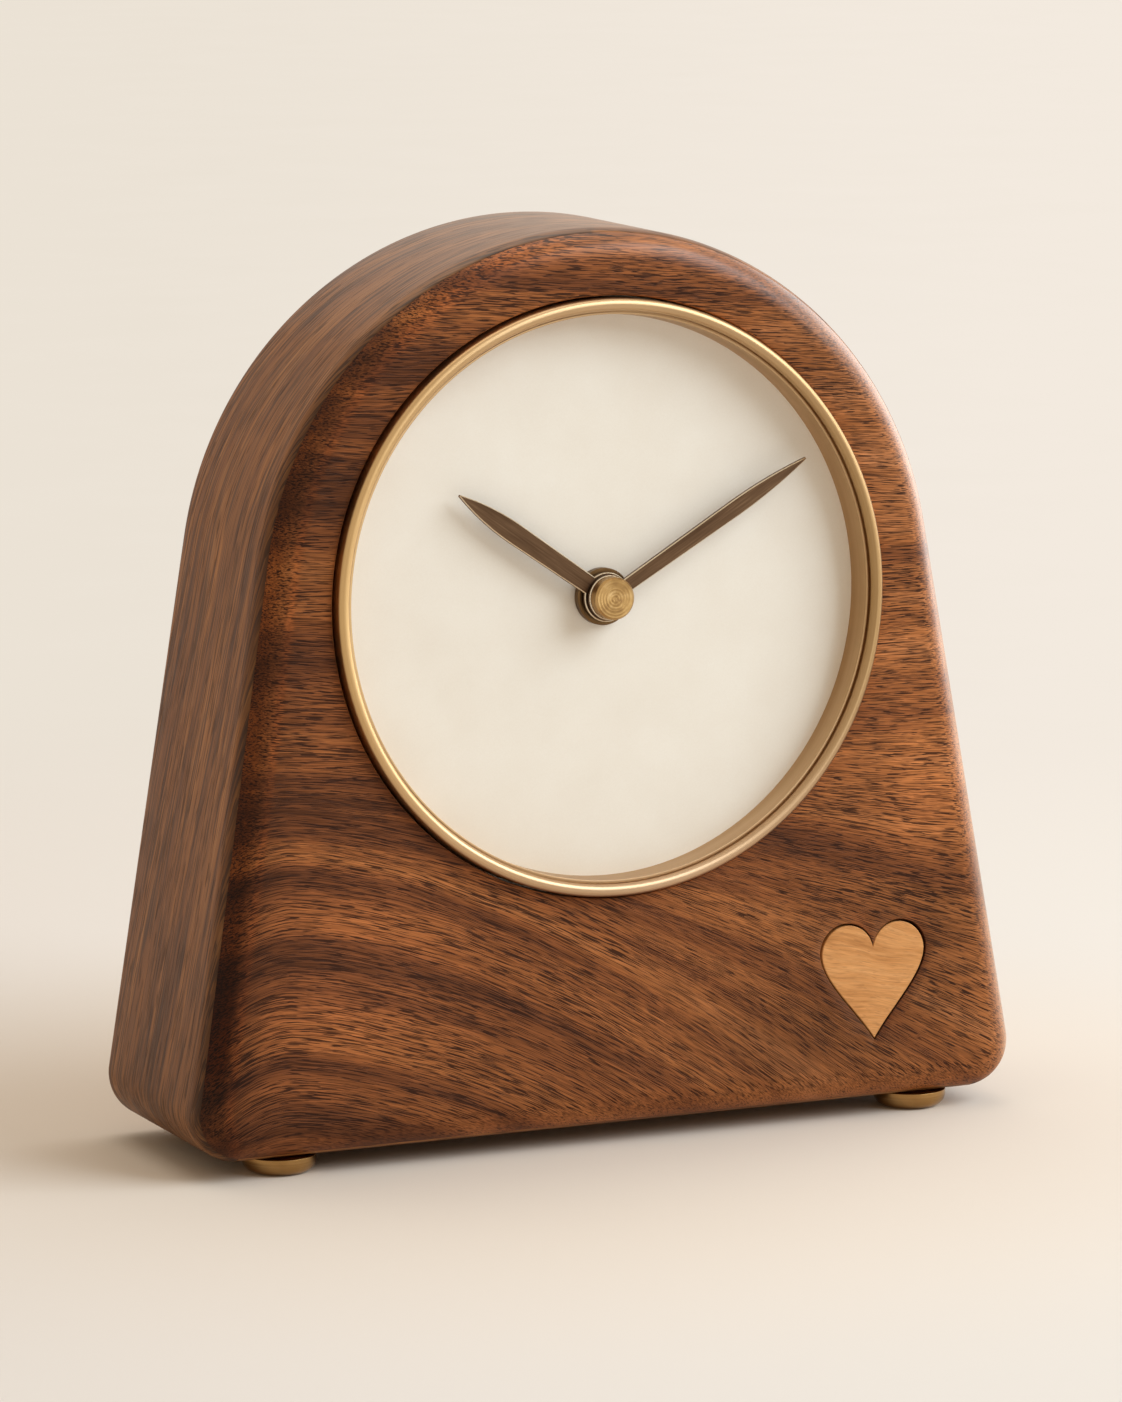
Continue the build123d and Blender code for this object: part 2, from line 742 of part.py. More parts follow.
def gasket():
    """Rubber pad between the movement and the front board."""
    outline = RectangleRounded(gasket_width, gasket_width, movement_corner_radius)
    pad = extrude(outline, amount=gasket_thickness)
    return movement_place * (pad - bar(bush_radius + joint_clearance, 0, gasket_thickness))


def washer():
    """Thin washer between the dial and its nut."""
    seat = bush_length - nut_thickness - washer_thickness
    ring = bar(washer_radius, seat, seat + washer_thickness)
    return movement_place * (ring - bar(bush_radius + joint_clearance, seat, seat + washer_thickness))


def dial_nut():
    """Round nut that clamps the dial and the movement, its slot in line with the hour hand."""
    seat = bush_length - nut_thickness
    nut = bar(nut_radius, seat, bush_length)
    nut = chamfer(nut.edges().sort_by(Axis.Z)[-1], nut_chamfer)
    slot = Pos(0, 0, bush_length) * Box(nut_slot_width, 2 * nut_radius, 2 * nut_slot_depth)
    slot = Rot(0, 0, -hour_turn) * slot
    return movement_place * (nut - bar(bush_radius, seat, bush_length) - slot)


def battery_cell():
    """Cell lying across the bay, its nub to the right."""
    body_length = cell_length - cell_nub_length
    cell = bar(cell_radius, 0, body_length) + bar(cell_nub_radius, body_length, cell_length)
    left = inner_width / 2 - contact_thickness - cell_length
    return movement_place * Pos(left, cell_y, -cell_depth) * Rot(0, 90, 0) * cell


def contact_positive():
    """Flat strip behind the cell's nub."""
    against_wall = (Align.MAX, Align.CENTER, Align.CENTER)
    strip = Box(contact_thickness, contact_height, contact_width, align=against_wall)
    return movement_place * Pos(inner_width / 2, cell_y, -cell_depth) * strip


def contact_negative():
    """Bowed leaf that presses on the flat end of the cell."""
    half = contact_height / 2
    outer = ThreePointArc((0, -half), (contact_bow + contact_thickness, 0), (0, half))
    inner = ThreePointArc((0, contact_thickness - half), (contact_bow, 0), (0, half - contact_thickness))
    ends = [Line(outer @ end, inner @ end).edge() for end in (0, 1)]
    leaf = extrude(make_face(outer.edges() + inner.edges() + ends), amount=contact_width)
    return movement_place * Pos(-inner_width / 2, cell_y, -cell_depth - contact_width / 2) * leaf


def stator():
    """Iron plate round the rotor with two legs up to the coil core."""
    low = rotor_axis[1] - stator_bar / 2
    upward = (Align.CENTER, Align.MIN)
    plate = Pos(rotor_axis[0], low) * Rectangle(stator_width, stator_height, align=upward)
    gap_width = stator_width - 2 * stator_leg
    gap = Pos(rotor_axis[0], low + stator_bar) * Rectangle(gap_width, stator_height, align=upward)
    hole = Pos(*rotor_axis) * Circle(magnet_radius + magnet_gap)
    back = stator_level + stator_thickness
    return movement_place * Pos(0, 0, -back) * extrude(plate - gap - hole, amount=stator_thickness)


def coil_core():
    """Iron bar through the coil, seated on the stator's legs."""
    core = Box(stator_width, core_width, core_thickness)
    return movement_place * Pos(rotor_axis[0], coil_y, -coil_depth) * core


def coil_bobbin():
    """Square tube with two round flanges."""
    half = coil_length / 2
    tube = Box(coil_length, core_width + 2 * bobbin_wall, core_thickness + 2 * bobbin_wall)
    for end in (-half, half):
        flange = Cylinder(coil_radius, bobbin_flange, rotation=(0, 90, 0))
        tube += Pos(end, 0, 0) * flange
    tube -= Box(coil_length + 2 * bobbin_flange, core_width, core_thickness)
    return movement_place * Pos(rotor_axis[0], coil_y, -coil_depth) * tube


def coil_winding():
    """Wire wound between the flanges, as one closed body."""
    length = coil_length - bobbin_flange
    wire = Cylinder(coil_radius - bobbin_wall, length, rotation=(0, 90, 0))
    wire -= Box(length, core_width + 2 * bobbin_wall, core_thickness + 2 * bobbin_wall)
    return movement_place * Pos(rotor_axis[0], coil_y, -coil_depth) * wire


def circuit_board():
    """Small board under the cover with a moulded chip."""
    board = Box(board_width, board_height, board_thickness, align=(Align.CENTER, Align.CENTER, Align.MIN))
    board += bar(chip_radius, board_thickness, board_thickness + chip_height)
    return movement_place * Pos(board_x, board_y, -housing_depth) * board


def quartz_crystal():
    """Tuning-fork can lying on the board."""
    can = Cylinder(crystal_radius, crystal_length, rotation=(0, 90, 0))
    place = Pos(board_x, board_y - board_height / 2 + crystal_radius, crystal_radius - board_level)
    return movement_place * place * can


def build_clock():
    """Every piece of the clock by its name."""
    blank = case_blank()
    pieces = {
        "front_board": front_board(blank),
        "case_band": case_band(blank),
        "base_board": base_board(blank),
        "back_panel": back_panel(),
        "back_panel_screws": Compound(children=panel_screws(0)),
        "foot_screws": Compound(children=foot_screws(0)),
    }
    for corner, (x, y) in foot_places().items():
        pieces["foot_" + corner] = Pos(x, y, 0) * foot()
    makers = [
        heart_inlay,
        bezel_ring,
        dial,
        hour_hand,
        minute_hand,
        cap_nut,
        minute_arbor,
        minute_wheel,
        hour_wheel,
        centre_wheel,
        third_wheel,
        fourth_wheel,
        intermediate_wheel,
        rotor,
        setting_stem,
        setting_knob,
        movement_housing,
        train_plate,
        movement_cover,
        gasket,
        washer,
        dial_nut,
        battery_cell,
        contact_positive,
        contact_negative,
        stator,
        coil_core,
        coil_bobbin,
        coil_winding,
        circuit_board,
        quartz_crystal,
    ]
    for make in makers:
        pieces[make.__name__] = make()
    return pieces


os.makedirs("parts", exist_ok=True)
for name, piece in build_clock().items():
    export_step(piece, os.path.join("parts", name + ".step"))
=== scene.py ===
import json
import bmesh
import bpy
import numpy as np
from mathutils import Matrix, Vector
from mathutils.geometry import delaunay_2d_cdt


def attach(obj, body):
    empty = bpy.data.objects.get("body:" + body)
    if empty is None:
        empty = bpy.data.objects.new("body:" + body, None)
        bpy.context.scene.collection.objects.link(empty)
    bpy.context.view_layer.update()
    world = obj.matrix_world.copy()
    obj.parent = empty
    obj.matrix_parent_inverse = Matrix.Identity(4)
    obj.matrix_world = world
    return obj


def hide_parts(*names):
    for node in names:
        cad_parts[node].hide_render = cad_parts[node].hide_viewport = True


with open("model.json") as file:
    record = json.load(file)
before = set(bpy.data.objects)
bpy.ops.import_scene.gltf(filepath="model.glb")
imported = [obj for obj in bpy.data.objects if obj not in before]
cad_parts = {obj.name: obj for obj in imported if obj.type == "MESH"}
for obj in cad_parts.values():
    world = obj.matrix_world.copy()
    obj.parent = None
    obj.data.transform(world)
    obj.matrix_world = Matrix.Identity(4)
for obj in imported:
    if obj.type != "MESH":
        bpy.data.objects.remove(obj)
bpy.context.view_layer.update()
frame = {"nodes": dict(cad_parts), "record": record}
mm = 0.001
print("frame loaded:", len(frame["nodes"]), "nodes")

# the case, in millimetres and degrees; y = 0 halfway through its depth
case = dict(height=160.0, depth=47.0, archRadius=64.4, taper=9.2, lean=3.0, footHeight=3.1, cornerRadius=8.4,
            roundover=6.4, backRadius=2.5, wall=9.0, baseThickness=12.0, lip=3.2, boardThickness=9.8,
            panelDepth=5.0, rebate=4.5, clearance=0.1, seamBevel=0.06, dialRise=0.8)
taper, lean = np.radians(case["taper"]), np.radians(case["lean"])
archCentre = case["height"] - case["archRadius"]
frontEdge = -case["depth"] / 2
dialHeight = archCentre + case["dialRise"]
faceOut = np.array([0, -np.cos(lean), np.sin(lean)])
faceUp = np.array([0, np.sin(lean), np.cos(lean)])
faceRight = np.array([1.0, 0, 0])
faceOrigin = np.array([0, frontEdge + (dialHeight - case["footHeight"]) * np.tan(lean), dialHeight])
faceFoot = -(dialHeight - case["footHeight"]) / np.cos(lean)  # lower edge of the front, measured up the face
mirror = np.array([-1, 1])


def facePoints(u, v, w):
    # dial centre plus u to the right, v up the leaning face and w out of it
    u, v, w = np.broadcast_arrays(u, v, w)
    return faceOrigin + u[..., None] * faceRight + v[..., None] * faceUp + w[..., None] * faceOut


def faceCoords(points):
    # the three face distances of points in the clock's frame
    away = points - faceOrigin
    return np.stack([away @ faceRight, away @ faceUp, away @ faceOut], -1)


def depthPoints(x, z, depth):
    # points at a depth behind the leaning front, given across and up
    y = frontEdge + (depth + np.sin(lean) * (z - case["footHeight"])) / np.cos(lean)
    return np.stack([x, y, z], -1)


def legX(inset, height):
    # half width between the legs' straight sides, drawn in by an inset, at a height
    return (case["archRadius"] - inset - (height - archCentre) * np.sin(taper)) / np.cos(taper)


def legReach(x, z):
    # distance out from the arch's centre, square to the right leg's side
    return x * np.cos(taper) + (z - archCentre) * np.sin(taper)


def ramp(value, low, high):
    # share of the way from low to high, held between nought and one
    return np.clip((value - low) / (high - low), 0, 1)


def ease(share):
    # three times the square less twice the cube
    return share * share * (3 - 2 * share)


def bell(value, place, reach):
    # e to minus the square of the distance over the reach
    return np.exp(-((value - place) / reach) ** 2)


def turned(x, y, angle):
    # a point turned counter-clockwise about the origin
    return x * np.cos(angle) - y * np.sin(angle), x * np.sin(angle) + y * np.cos(angle)


def bearing(centre, point):
    # angle in degrees from a centre to a point
    return np.degrees(np.arctan2(*(point - centre)[::-1]))


def arcPoints(centre, radius, start, end, count):
    # points on an arc between two angles in degrees
    angle = np.radians(np.linspace(start, end, count))
    return np.array(centre) + radius * np.stack([np.cos(angle), np.sin(angle)], -1)


def circle(radius, count):
    # a whole turn of an arc, its last point left out
    return arcPoints((0, 0), radius, 0, 360, count + 1)[:-1]


def inward(loop, distance):
    # a closed counter-clockwise loop moved inwards along the mean of its neighbouring edges' normals
    ahead = np.roll(loop, -1, 0) - loop
    ahead /= np.linalg.norm(ahead, axis=1)[:, None]
    along = ahead + np.roll(ahead, 1, 0)
    along /= np.maximum(np.linalg.norm(along, axis=1)[:, None], 1e-9)
    return loop - distance * np.stack([along[:, 1], -along[:, 0]], -1)


def insideLoop(points, loop):
    # even count of edges crossed by a ray to the right means outside
    a, b = loop, np.roll(loop, -1, 0)
    x, y = points[:, :1], points[:, 1:2]
    spans = (a[:, 1] > y) != (b[:, 1] > y)
    rise = np.where(b[:, 1] == a[:, 1], 1.0, b[:, 1] - a[:, 1])
    cross = a[:, 0] + (y - a[:, 1]) * (b[:, 0] - a[:, 0]) / rise
    return ((spans & (x < cross)).sum(1) % 2) == 1


# a part is an array of points and a list of faces
def gridPart(points, closed=True):
    # quads between neighbours of a grid of points, whose last column meets the first if it is closed
    rows, columns = points.shape[:2]
    i = np.arange(rows - 1)[:, None] * columns
    j = np.arange(columns if closed else columns - 1)[None, :]
    after = (j + 1) % columns
    corners = np.broadcast_arrays(i + j, i + after, i + columns + after, i + columns + j)
    return points.reshape(-1, 3), np.stack(corners, -1).reshape(-1, 4).tolist()


def tubeParts(grid):
    # closed rows joined along the piece, with a face over each end
    return [gridPart(grid)] + [(grid[k], [list(range(grid.shape[1]))]) for k in (0, -1)]


def wallPart(loops, heights, lift):
    # closed wall that joins loops at their heights
    return gridPart(np.stack([lift(*loop.T, height) for loop, height in zip(loops, heights)]))


def fillPart(outer, holes, lift, height, spacing=0.0):
    # flat triangles between an outer loop and its holes, with a spread of inner points, lifted to a height
    loops = [outer] + holes
    sizes = [len(loop) for loop in loops]
    flat = np.concatenate(loops)
    edges = np.concatenate([np.stack([np.arange(n), np.roll(np.arange(n), -1)], -1) + start
                            for n, start in zip(sizes, np.cumsum([0] + sizes))])

    def kept(points):
        # inside the outer loop and in none of the holes
        return insideLoop(points, outer) & ~np.any([insideLoop(points, hole) for hole in holes], axis=0)

    if spacing:
        low, high = outer.min(0), outer.max(0)
        x, y = np.meshgrid(np.arange(low[0], high[0], spacing), np.arange(low[1], high[1], spacing))
        inner = np.stack([x + spacing / 2 * (np.arange(len(x)) % 2)[:, None], y], -1).reshape(-1, 2)
        inner = inner[kept(inner)]
        gaps = np.linalg.norm(inner[:, None] - flat[None], axis=-1).min(1)
        flat = np.concatenate([flat, inner[gaps > spacing * 0.4]])
    found = delaunay_2d_cdt([Vector(p) for p in flat.tolist()], edges.tolist(), [], 1, 1e-7)
    points, faces = np.array([p[:] for p in found[0]]), np.array(found[2])
    return lift(*points.T, height), faces[kept(points[faces].mean(1))].tolist()


def lathePart(profile, turns, lift):
    # a profile of radius and height carried round a circle
    angle = np.arange(turns) * 2 * np.pi / turns
    radius, height = profile[:, :1], profile[:, 1:2]
    return gridPart(lift(radius * np.cos(angle), radius * np.sin(angle), height + 0 * angle))


def platePart(loop, holes, low, high, bevel, lift):
    # a flat plate between two heights whose upper edge is bevelled
    upper = inward(loop, bevel)
    parts = [wallPart([upper, loop, loop], [high, high - bevel, low], lift)]
    parts += [fillPart(upper, holes, lift, high), fillPart(loop, holes, lift, low)]
    return parts + [wallPart([hole, hole], [high, low], lift) for hole in holes]


def linked(name, data):
    # object at the origin, put in the scene
    made = bpy.data.objects.new(name, data)
    bpy.context.scene.collection.objects.link(made)
    return made


def closedMesh(name, points, faces, merge, outward=True):
    # mesh of points in metres: those nearer than the merge distance become one, and empty faces go
    mesh = bpy.data.meshes.new(name)
    mesh.from_pydata(points.tolist(), [], faces)
    work = bmesh.new()
    work.from_mesh(mesh)
    bmesh.ops.remove_doubles(work, verts=work.verts, dist=merge)
    bmesh.ops.dissolve_degenerate(work, edges=work.edges, dist=1e-7)
    if outward:
        bmesh.ops.recalc_face_normals(work, faces=work.faces)
    work.to_mesh(mesh)
    work.free()
    return mesh


def makePiece(name, parts, body, replaced, material, sharp=32.0):
    # joins the parts, closes their seams, turns faces outwards and hands the piece to its body
    starts = np.cumsum([0] + [len(points) for points, faces in parts])
    joined = [[k + start for k in face] for (points, faces), start in zip(parts, starts) for face in faces]
    mesh = closedMesh(name, np.concatenate([points for points, faces in parts]) * mm, joined, 2e-6)
    mesh.shade_smooth()
    mesh.set_sharp_from_angle(angle=np.radians(sharp))
    mesh.materials.append(material)
    piece = linked(name, mesh)
    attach(piece, body)
    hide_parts(*replaced)
    return piece


def readVectors(items, key):
    # one vector of every vertex or face, as an array
    flat = np.zeros(len(items) * 3, np.float32)
    items.foreach_get(key, flat)
    return flat.reshape(-1, 3).astype(float)


def meshPoints(piece):
    # vertices in millimetres
    return readVectors(piece.data.vertices, "co") / mm


def meshNormals(piece):
    # unit normals at the vertices
    return readVectors(piece.data.vertices, "normal")


def storeVector(piece, name, *axes):
    # a vector at each vertex, given as one array for each axis
    stored = piece.data.attributes.new(name, "FLOAT_VECTOR", "POINT")
    stored.data.foreach_set("vector", np.stack(axes, -1).astype(np.float32).ravel())


def storeValue(piece, name, values):
    # a number at each vertex
    stored = piece.data.attributes.new(name, "FLOAT", "POINT")
    stored.data.foreach_set("value", values.astype(np.float32))


def secondMaterial(piece, material, chosen):
    # faces that are chosen change to a second material
    piece.data.materials.append(material)
    piece.data.polygons.foreach_set("material_index", chosen.astype(np.int32))


# small helpers for the materials' nodes
def wire(tree, made, inputs):
    # links a socket to each input named, or sets its number
    for key, value in inputs.items():
        if isinstance(value, bpy.types.NodeSocket):
            tree.links.new(value, made.inputs[key])
        else:
            made.inputs[key].default_value = value


def addNode(tree, kind, inputs=None, **settings):
    # node with its settings made first, then its inputs
    made = tree.nodes.new(kind)
    for key, value in settings.items():
        setattr(made, key, value)
    wire(tree, made, inputs or {})
    return made


def startMaterial(name, sockets):
    # material whose shader has the given numbers on its sockets
    material = bpy.data.materials.new(name)
    material.use_nodes = True
    tree = material.node_tree
    shader = tree.nodes["Principled BSDF"]
    wire(tree, shader, sockets)
    return material, tree, shader


def attribute(tree, name, output="Vector"):
    # what a piece stores at its vertices
    return addNode(tree, "ShaderNodeAttribute", attribute_name=name).outputs[output]


def calc(tree, operation, a, b=0.0, c=0.0, clamp=False):
    # one sum on up to three numbers
    return addNode(tree, "ShaderNodeMath", {0: a, 1: b, 2: c}, operation=operation, use_clamp=clamp).outputs[0]


def vectorCalc(tree, operation, inputs, output=0):
    # one sum on vectors
    return addNode(tree, "ShaderNodeVectorMath", inputs, operation=operation).outputs[output]


def objectCoords(tree):
    # object coordinates in millimetres
    return vectorCalc(tree, "SCALE", {0: addNode(tree, "ShaderNodeTexCoord").outputs["Object"], 3: 1 / mm})


def weigh(tree, a, b, share):
    # share of the first and the rest of the second
    return calc(tree, "MULTIPLY_ADD", a, share, calc(tree, "MULTIPLY", b, 1.0 - share))


def noiseNode(tree, coords, detail, roughness):
    # noise: first output a number, second three numbers
    inputs = {"Vector": coords, "Scale": 1.0, "Detail": detail, "Roughness": roughness}
    return addNode(tree, "ShaderNodeTexNoise", inputs)


def spread(tree, coords, scale, detail=2.0, roughness=0.5, offset=(0, 0, 0)):
    # noise read on coordinates stretched by a factor on each axis
    placed = vectorCalc(tree, "MULTIPLY_ADD", {0: coords, 1: scale, 2: offset})
    return noiseNode(tree, placed, detail, roughness).outputs[0]


def remap(tree, value, low, high, toLow=0.0, toHigh=1.0, smooth=False):
    # a range carried to another one, straight or eased, and held at its ends
    kind = "SMOOTHSTEP" if smooth else "LINEAR"
    inputs = {0: value, 1: low, 2: high, 3: toLow, 4: toHigh}
    return addNode(tree, "ShaderNodeMapRange", inputs, interpolation_type=kind, clamp=True).outputs[0]


def blendColour(tree, factor, a, b, kind="MIX"):
    # second colour laid over the first by a factor
    made = addNode(tree, "ShaderNodeMix", {0: factor, 6: a, 7: b}, data_type="RGBA", blend_type=kind)
    return made.outputs[2]


def colourRamp(tree, value, stops):
    # colour read between stops along a range from nought to one
    made = addNode(tree, "ShaderNodeValToRGB", {0: value})
    elements = made.color_ramp.elements
    while len(elements) < len(stops):
        elements.new(0.5)
    for element, (place, colour) in zip(elements, stops):
        element.position, element.color = place, colour
    return made.outputs[0]


def bumpNormal(tree, height, strength, distance):
    # normal tilted by the slope of a height
    return addNode(tree, "ShaderNodeBump", {"Height": height, "Strength": strength, "Distance": distance}).outputs[0]


def tone(hexCode):
    # a colour as a painter would pick it on screen, turned to linear light
    parts = np.array([int(hexCode[k:k + 2], 16) for k in (0, 2, 4)]) / 255
    linear = np.where(parts <= 0.04045, parts / 12.92, ((parts + 0.055) / 1.055) ** 2.4)
    return (*linear.tolist(), 1.0)


def stopsAt(places, codes):
    # stops of a ramp, each a place and its tone
    return [(place, tone(code)) for place, code in zip(places, codes.split())]


def tones(codes):
    # three tones over the middle of a noise's range
    return stopsAt((0.3, 0.5, 0.7), codes)


def swayed(tree, source, look):
    # grain coordinates of the piece, in millimetres, moved across by slow noise
    grain = attribute(tree, source)
    slow = vectorCalc(tree, "MULTIPLY", {0: grain, 1: look["swayScale"]})
    centred = vectorCalc(tree, "SUBTRACT", {0: noiseNode(tree, slow, 2.0, 0.5).outputs[1], 1: (0.5, 0.5, 0.5)})
    return vectorCalc(tree, "MULTIPLY_ADD", {0: centred, 1: look["sway"], 2: grain})


def fineGrain(tree, coords, look):
    # fibres, hair lines and pores on one set of grain coordinates
    fibre = spread(tree, coords, look["fibreScale"], 2.0, 0.6, (9.2, 0.4, 5.5))
    hairs = spread(tree, coords, look["hairScale"], 1.0, 0.5, (2.6, 8.1, 3.9))
    return fibre, hairs, spread(tree, coords, look["poreScale"], 1.0, 0.5, (1.7, 4.2, 8.8))


def evenBlend(tree, share, a, b):
    # two noises that blend lose contrast, so the blend is widened by one over the root of its squared shares
    rest = calc(tree, "SUBTRACT", 1.0, share)
    squares = calc(tree, "MULTIPLY_ADD", share, share, calc(tree, "MULTIPLY", rest, rest))
    blend = calc(tree, "MULTIPLY_ADD", share, calc(tree, "SUBTRACT", b, a), a)
    return calc(tree, "MULTIPLY_ADD", calc(tree, "SUBTRACT", blend, 0.5), calc(tree, "INVERSE_SQRT", squares), 0.5)


def woodMaterial(name, look):
    # rings and streaks give a tone, fibres scale it, pores and hair lines darken it;
    # grain runs along the first axis of the piece's own grain coordinates, in millimetres
    material, tree, shader = startMaterial(name, look["sockets"])
    wide = swayed(tree, "grain", look)
    marks = fineGrain(tree, wide, look)
    if "bands" in look:
        # the grain lines fan out to the right, so the fine marks there are read on coordinates of their own
        share = attribute(tree, "rightShare", "Fac")
        right = fineGrain(tree, swayed(tree, "grainRight", look), look)
        marks = [evenBlend(tree, share, a, b) for a, b in zip(marks, right)]
        wide = swayed(tree, "figure", look)
    fibre, hairs, poreNoise = marks
    rings = spread(tree, wide, look["ringScale"], 3.0, 0.55, look["ringOffset"])
    streaks = spread(tree, wide, look["streakScale"], 3.0, 0.6, (3.1, 7.7, 1.3))
    poreDensity = spread(tree, wide, look["densityScale"], 2.0, 0.5, (6.3, 2.9, 0.7))
    mixed = weigh(tree, streaks, rings, look["streakShare"])
    if "bands" in look:
        # dark bands at heights of their own, stronger to the right, and a slow drift along the grain
        low, high = look["bandRange"]
        along, height = addNode(tree, "ShaderNodeSeparateXYZ", {0: wide}).outputs[:2]
        stops = [((h - low) / (high - low), (dark, dark, dark, 1.0)) for h, dark in look["bands"]]
        figure = calc(tree, "SUBTRACT", colourRamp(tree, remap(tree, height, low, high), stops), 0.4)
        strength = remap(tree, along, *look["bandGrows"], look["bandShare"] * 0.5, look["bandShare"])
        mixed = calc(tree, "MULTIPLY_ADD", figure, strength, mixed)
        mixed = calc(tree, "MULTIPLY_ADD", along, -look["drift"], mixed)
    shade = remap(tree, fibre, 0.25, 0.75, 1.0 - look["fibreDepth"], 1.0 + look["fibreDepth"])
    colour = vectorCalc(tree, "SCALE", {0: colourRamp(tree, mixed, look["stops"]), 3: shade})
    threshold = remap(tree, poreDensity, 0.3, 0.7, look["poreCut"] + 0.05, look["poreCut"] - 0.05)
    pores = remap(tree, calc(tree, "SUBTRACT", poreNoise, threshold), 0.0, look["poreEdge"], smooth=True)
    if "bands" in look:
        pores = calc(tree, "MULTIPLY", pores, attribute(tree, "open", "Fac"))
    hairs = remap(tree, hairs, look["hairCut"], look["hairCut"] + 0.1, smooth=True)
    dark = calc(tree, "MAXIMUM", calc(tree, "MULTIPLY", pores, look["poreDepth"]),
                calc(tree, "MULTIPLY", hairs, look["hairDepth"]))
    colour = blendColour(tree, dark, colour, look["poreColour"])
    # the stored tint carries painted shade on the case, and a painted sheen on the front's right edge
    if look["tinted"]:
        colour = vectorCalc(tree, "MULTIPLY", {0: colour, 1: attribute(tree, "tint")})
    height = calc(tree, "MULTIPLY_ADD", fibre, look["fibreRelief"], calc(tree, "MULTIPLY", pores, -1.0))
    wire(tree, shader, {
        "Base Color": colour,
        "Normal": bumpNormal(tree, height, look["relief"], 0.0001),
        "Roughness": remap(tree, weigh(tree, pores, fibre, 0.5), 0.1, 0.7, *look["roughness"]),
        "Coat Weight": calc(tree, "MULTIPLY", attribute(tree, "polish", "Fac"), look["polish"])})
    return material


# woods: scales are per millimetre along the grain, across it and into it; bands pair a height with a darkness
walnutFrontLook = dict(
    sockets={"IOR": 1.45, "Specular IOR Level": 0.12, "Coat IOR": 1.6, "Coat Roughness": 0.28},
    swayScale=(0.018, 0.05, 0.05), sway=(0.0, 4.0, 3.0),
    ringScale=(0.0065, 0.13, 0.06), ringOffset=(2.0, 5.3, 1.0),
    streakScale=(0.02, 0.6, 0.5), streakShare=0.2,
    fibreScale=(0.1, 3.4, 2.8), fibreDepth=0.5, fibreRelief=0.5,
    hairScale=(0.11, 4.2, 2.0), hairCut=0.55, hairDepth=0.76,
    poreScale=(0.19, 4.1, 1.8), densityScale=(0.03, 0.25, 0.2), poreCut=0.545, poreEdge=0.06, poreDepth=0.9,
    poreColour=tone("26130b"), tinted=True, relief=0.35, roughness=(0.36, 0.5), polish=0.9,
    bands=[(-110, 0.5), (-97, 0.2), (-90, 0.85), (-84, 0.3), (-80, 0.15), (-74, 0.85), (-69, 0.35), (-63, 0.1),
           (-56, 0.9), (-51, 0.45), (-47, 0.4), (-44, 0.8), (-38, 0.85), (-35, 0.3), (-31, 0.75), (-26, 0.3),
           (-20.5, 0.7), (-18, 0.3), (-5, 0.2), (6, 0.3), (9, 0.85), (11, 0.25), (24, 0.4), (29, 0.65),
           (33, 0.2), (46, 0.25), (52, 0.7), (57, 0.25), (66, 0.55), (74, 0.3)],
    bandRange=(-110, 74), bandShare=0.165, bandGrows=(-58, -15), drift=0.0015,
    stops=stopsAt((0.26, 0.42, 0.54, 0.64, 0.76), "ad7147 9f6338 86502d 673c23 4b2b19"))
walnutBandLook = dict(
    sockets={"IOR": 1.45, "Specular IOR Level": 0.25, "Coat IOR": 1.5, "Coat Roughness": 0.32},
    swayScale=(0.012, 0.06, 0.06), sway=(0.0, 4.0, 2.0),
    ringScale=(0.004, 0.14, 0.08), ringOffset=(4.0, 1.3, 2.0),
    streakScale=(0.014, 0.55, 0.5), streakShare=0.6,
    fibreScale=(0.05, 4.6, 4.2), fibreDepth=0.42, fibreRelief=0.5,
    hairScale=(0.05, 1.9, 1.4), hairCut=0.53, hairDepth=0.66,
    poreScale=(0.15, 2.8, 2.4), densityScale=(0.02, 0.25, 0.2), poreCut=0.55, poreEdge=0.08, poreDepth=0.68,
    poreColour=tone("3a2417"), tinted=True, relief=0.35, roughness=(0.4, 0.54), polish=0.7,
    stops=stopsAt((0.28, 0.44, 0.55, 0.65, 0.76), "b07c4e 9c6638 83522b 643e24 4a2e1a"))
panelLook = dict(
    walnutBandLook, tinted=False, swayScale=(0.05, 0.012, 0.05), sway=(4.0, 0.0, 2.0),
    ringScale=(0.05, 0.004, 0.05), streakScale=(0.4, 0.01, 0.4), fibreScale=(3.0, 0.04, 3.0),
    hairScale=(3.0, 0.05, 3.0), poreScale=(2.6, 0.14, 2.6), densityScale=(0.2, 0.02, 0.2))
inlayLook = dict(
    sockets={"IOR": 1.45, "Specular IOR Level": 0.4},
    swayScale=(0.05, 0.12, 0.1), sway=(0.0, 4.0, 1.0),
    ringScale=(0.04, 0.22, 0.1), ringOffset=(0.0, 2.0, 4.0),
    streakScale=(0.14, 1.4, 0.8), streakShare=0.6,
    fibreScale=(0.3, 4.5, 4.5), fibreDepth=0.14, fibreRelief=0.4,
    hairScale=(0.3, 3.2, 3.2), hairCut=0.58, hairDepth=0.32,
    poreScale=(0.5, 3.0, 3.0), densityScale=(0.05, 0.2, 0.2), poreCut=0.66, poreEdge=0.1, poreDepth=0.35,
    poreColour=tone("8f5c30"), tinted=False, relief=0.2, roughness=(0.42, 0.54), polish=0.0,
    stops=stopsAt((0.3, 0.5, 0.62, 0.75), "d9a066 cc9055 be8248 a9703a"))


def finishSurface(tree, shader, colour, fine, look, depth):
    # fine marks drive the roughness and the relief
    wire(tree, shader, {
        "Base Color": colour,
        "Roughness": remap(tree, fine, 0.3, 0.7, *look["roughness"]),
        "Normal": bumpNormal(tree, fine, look["relief"], depth)})


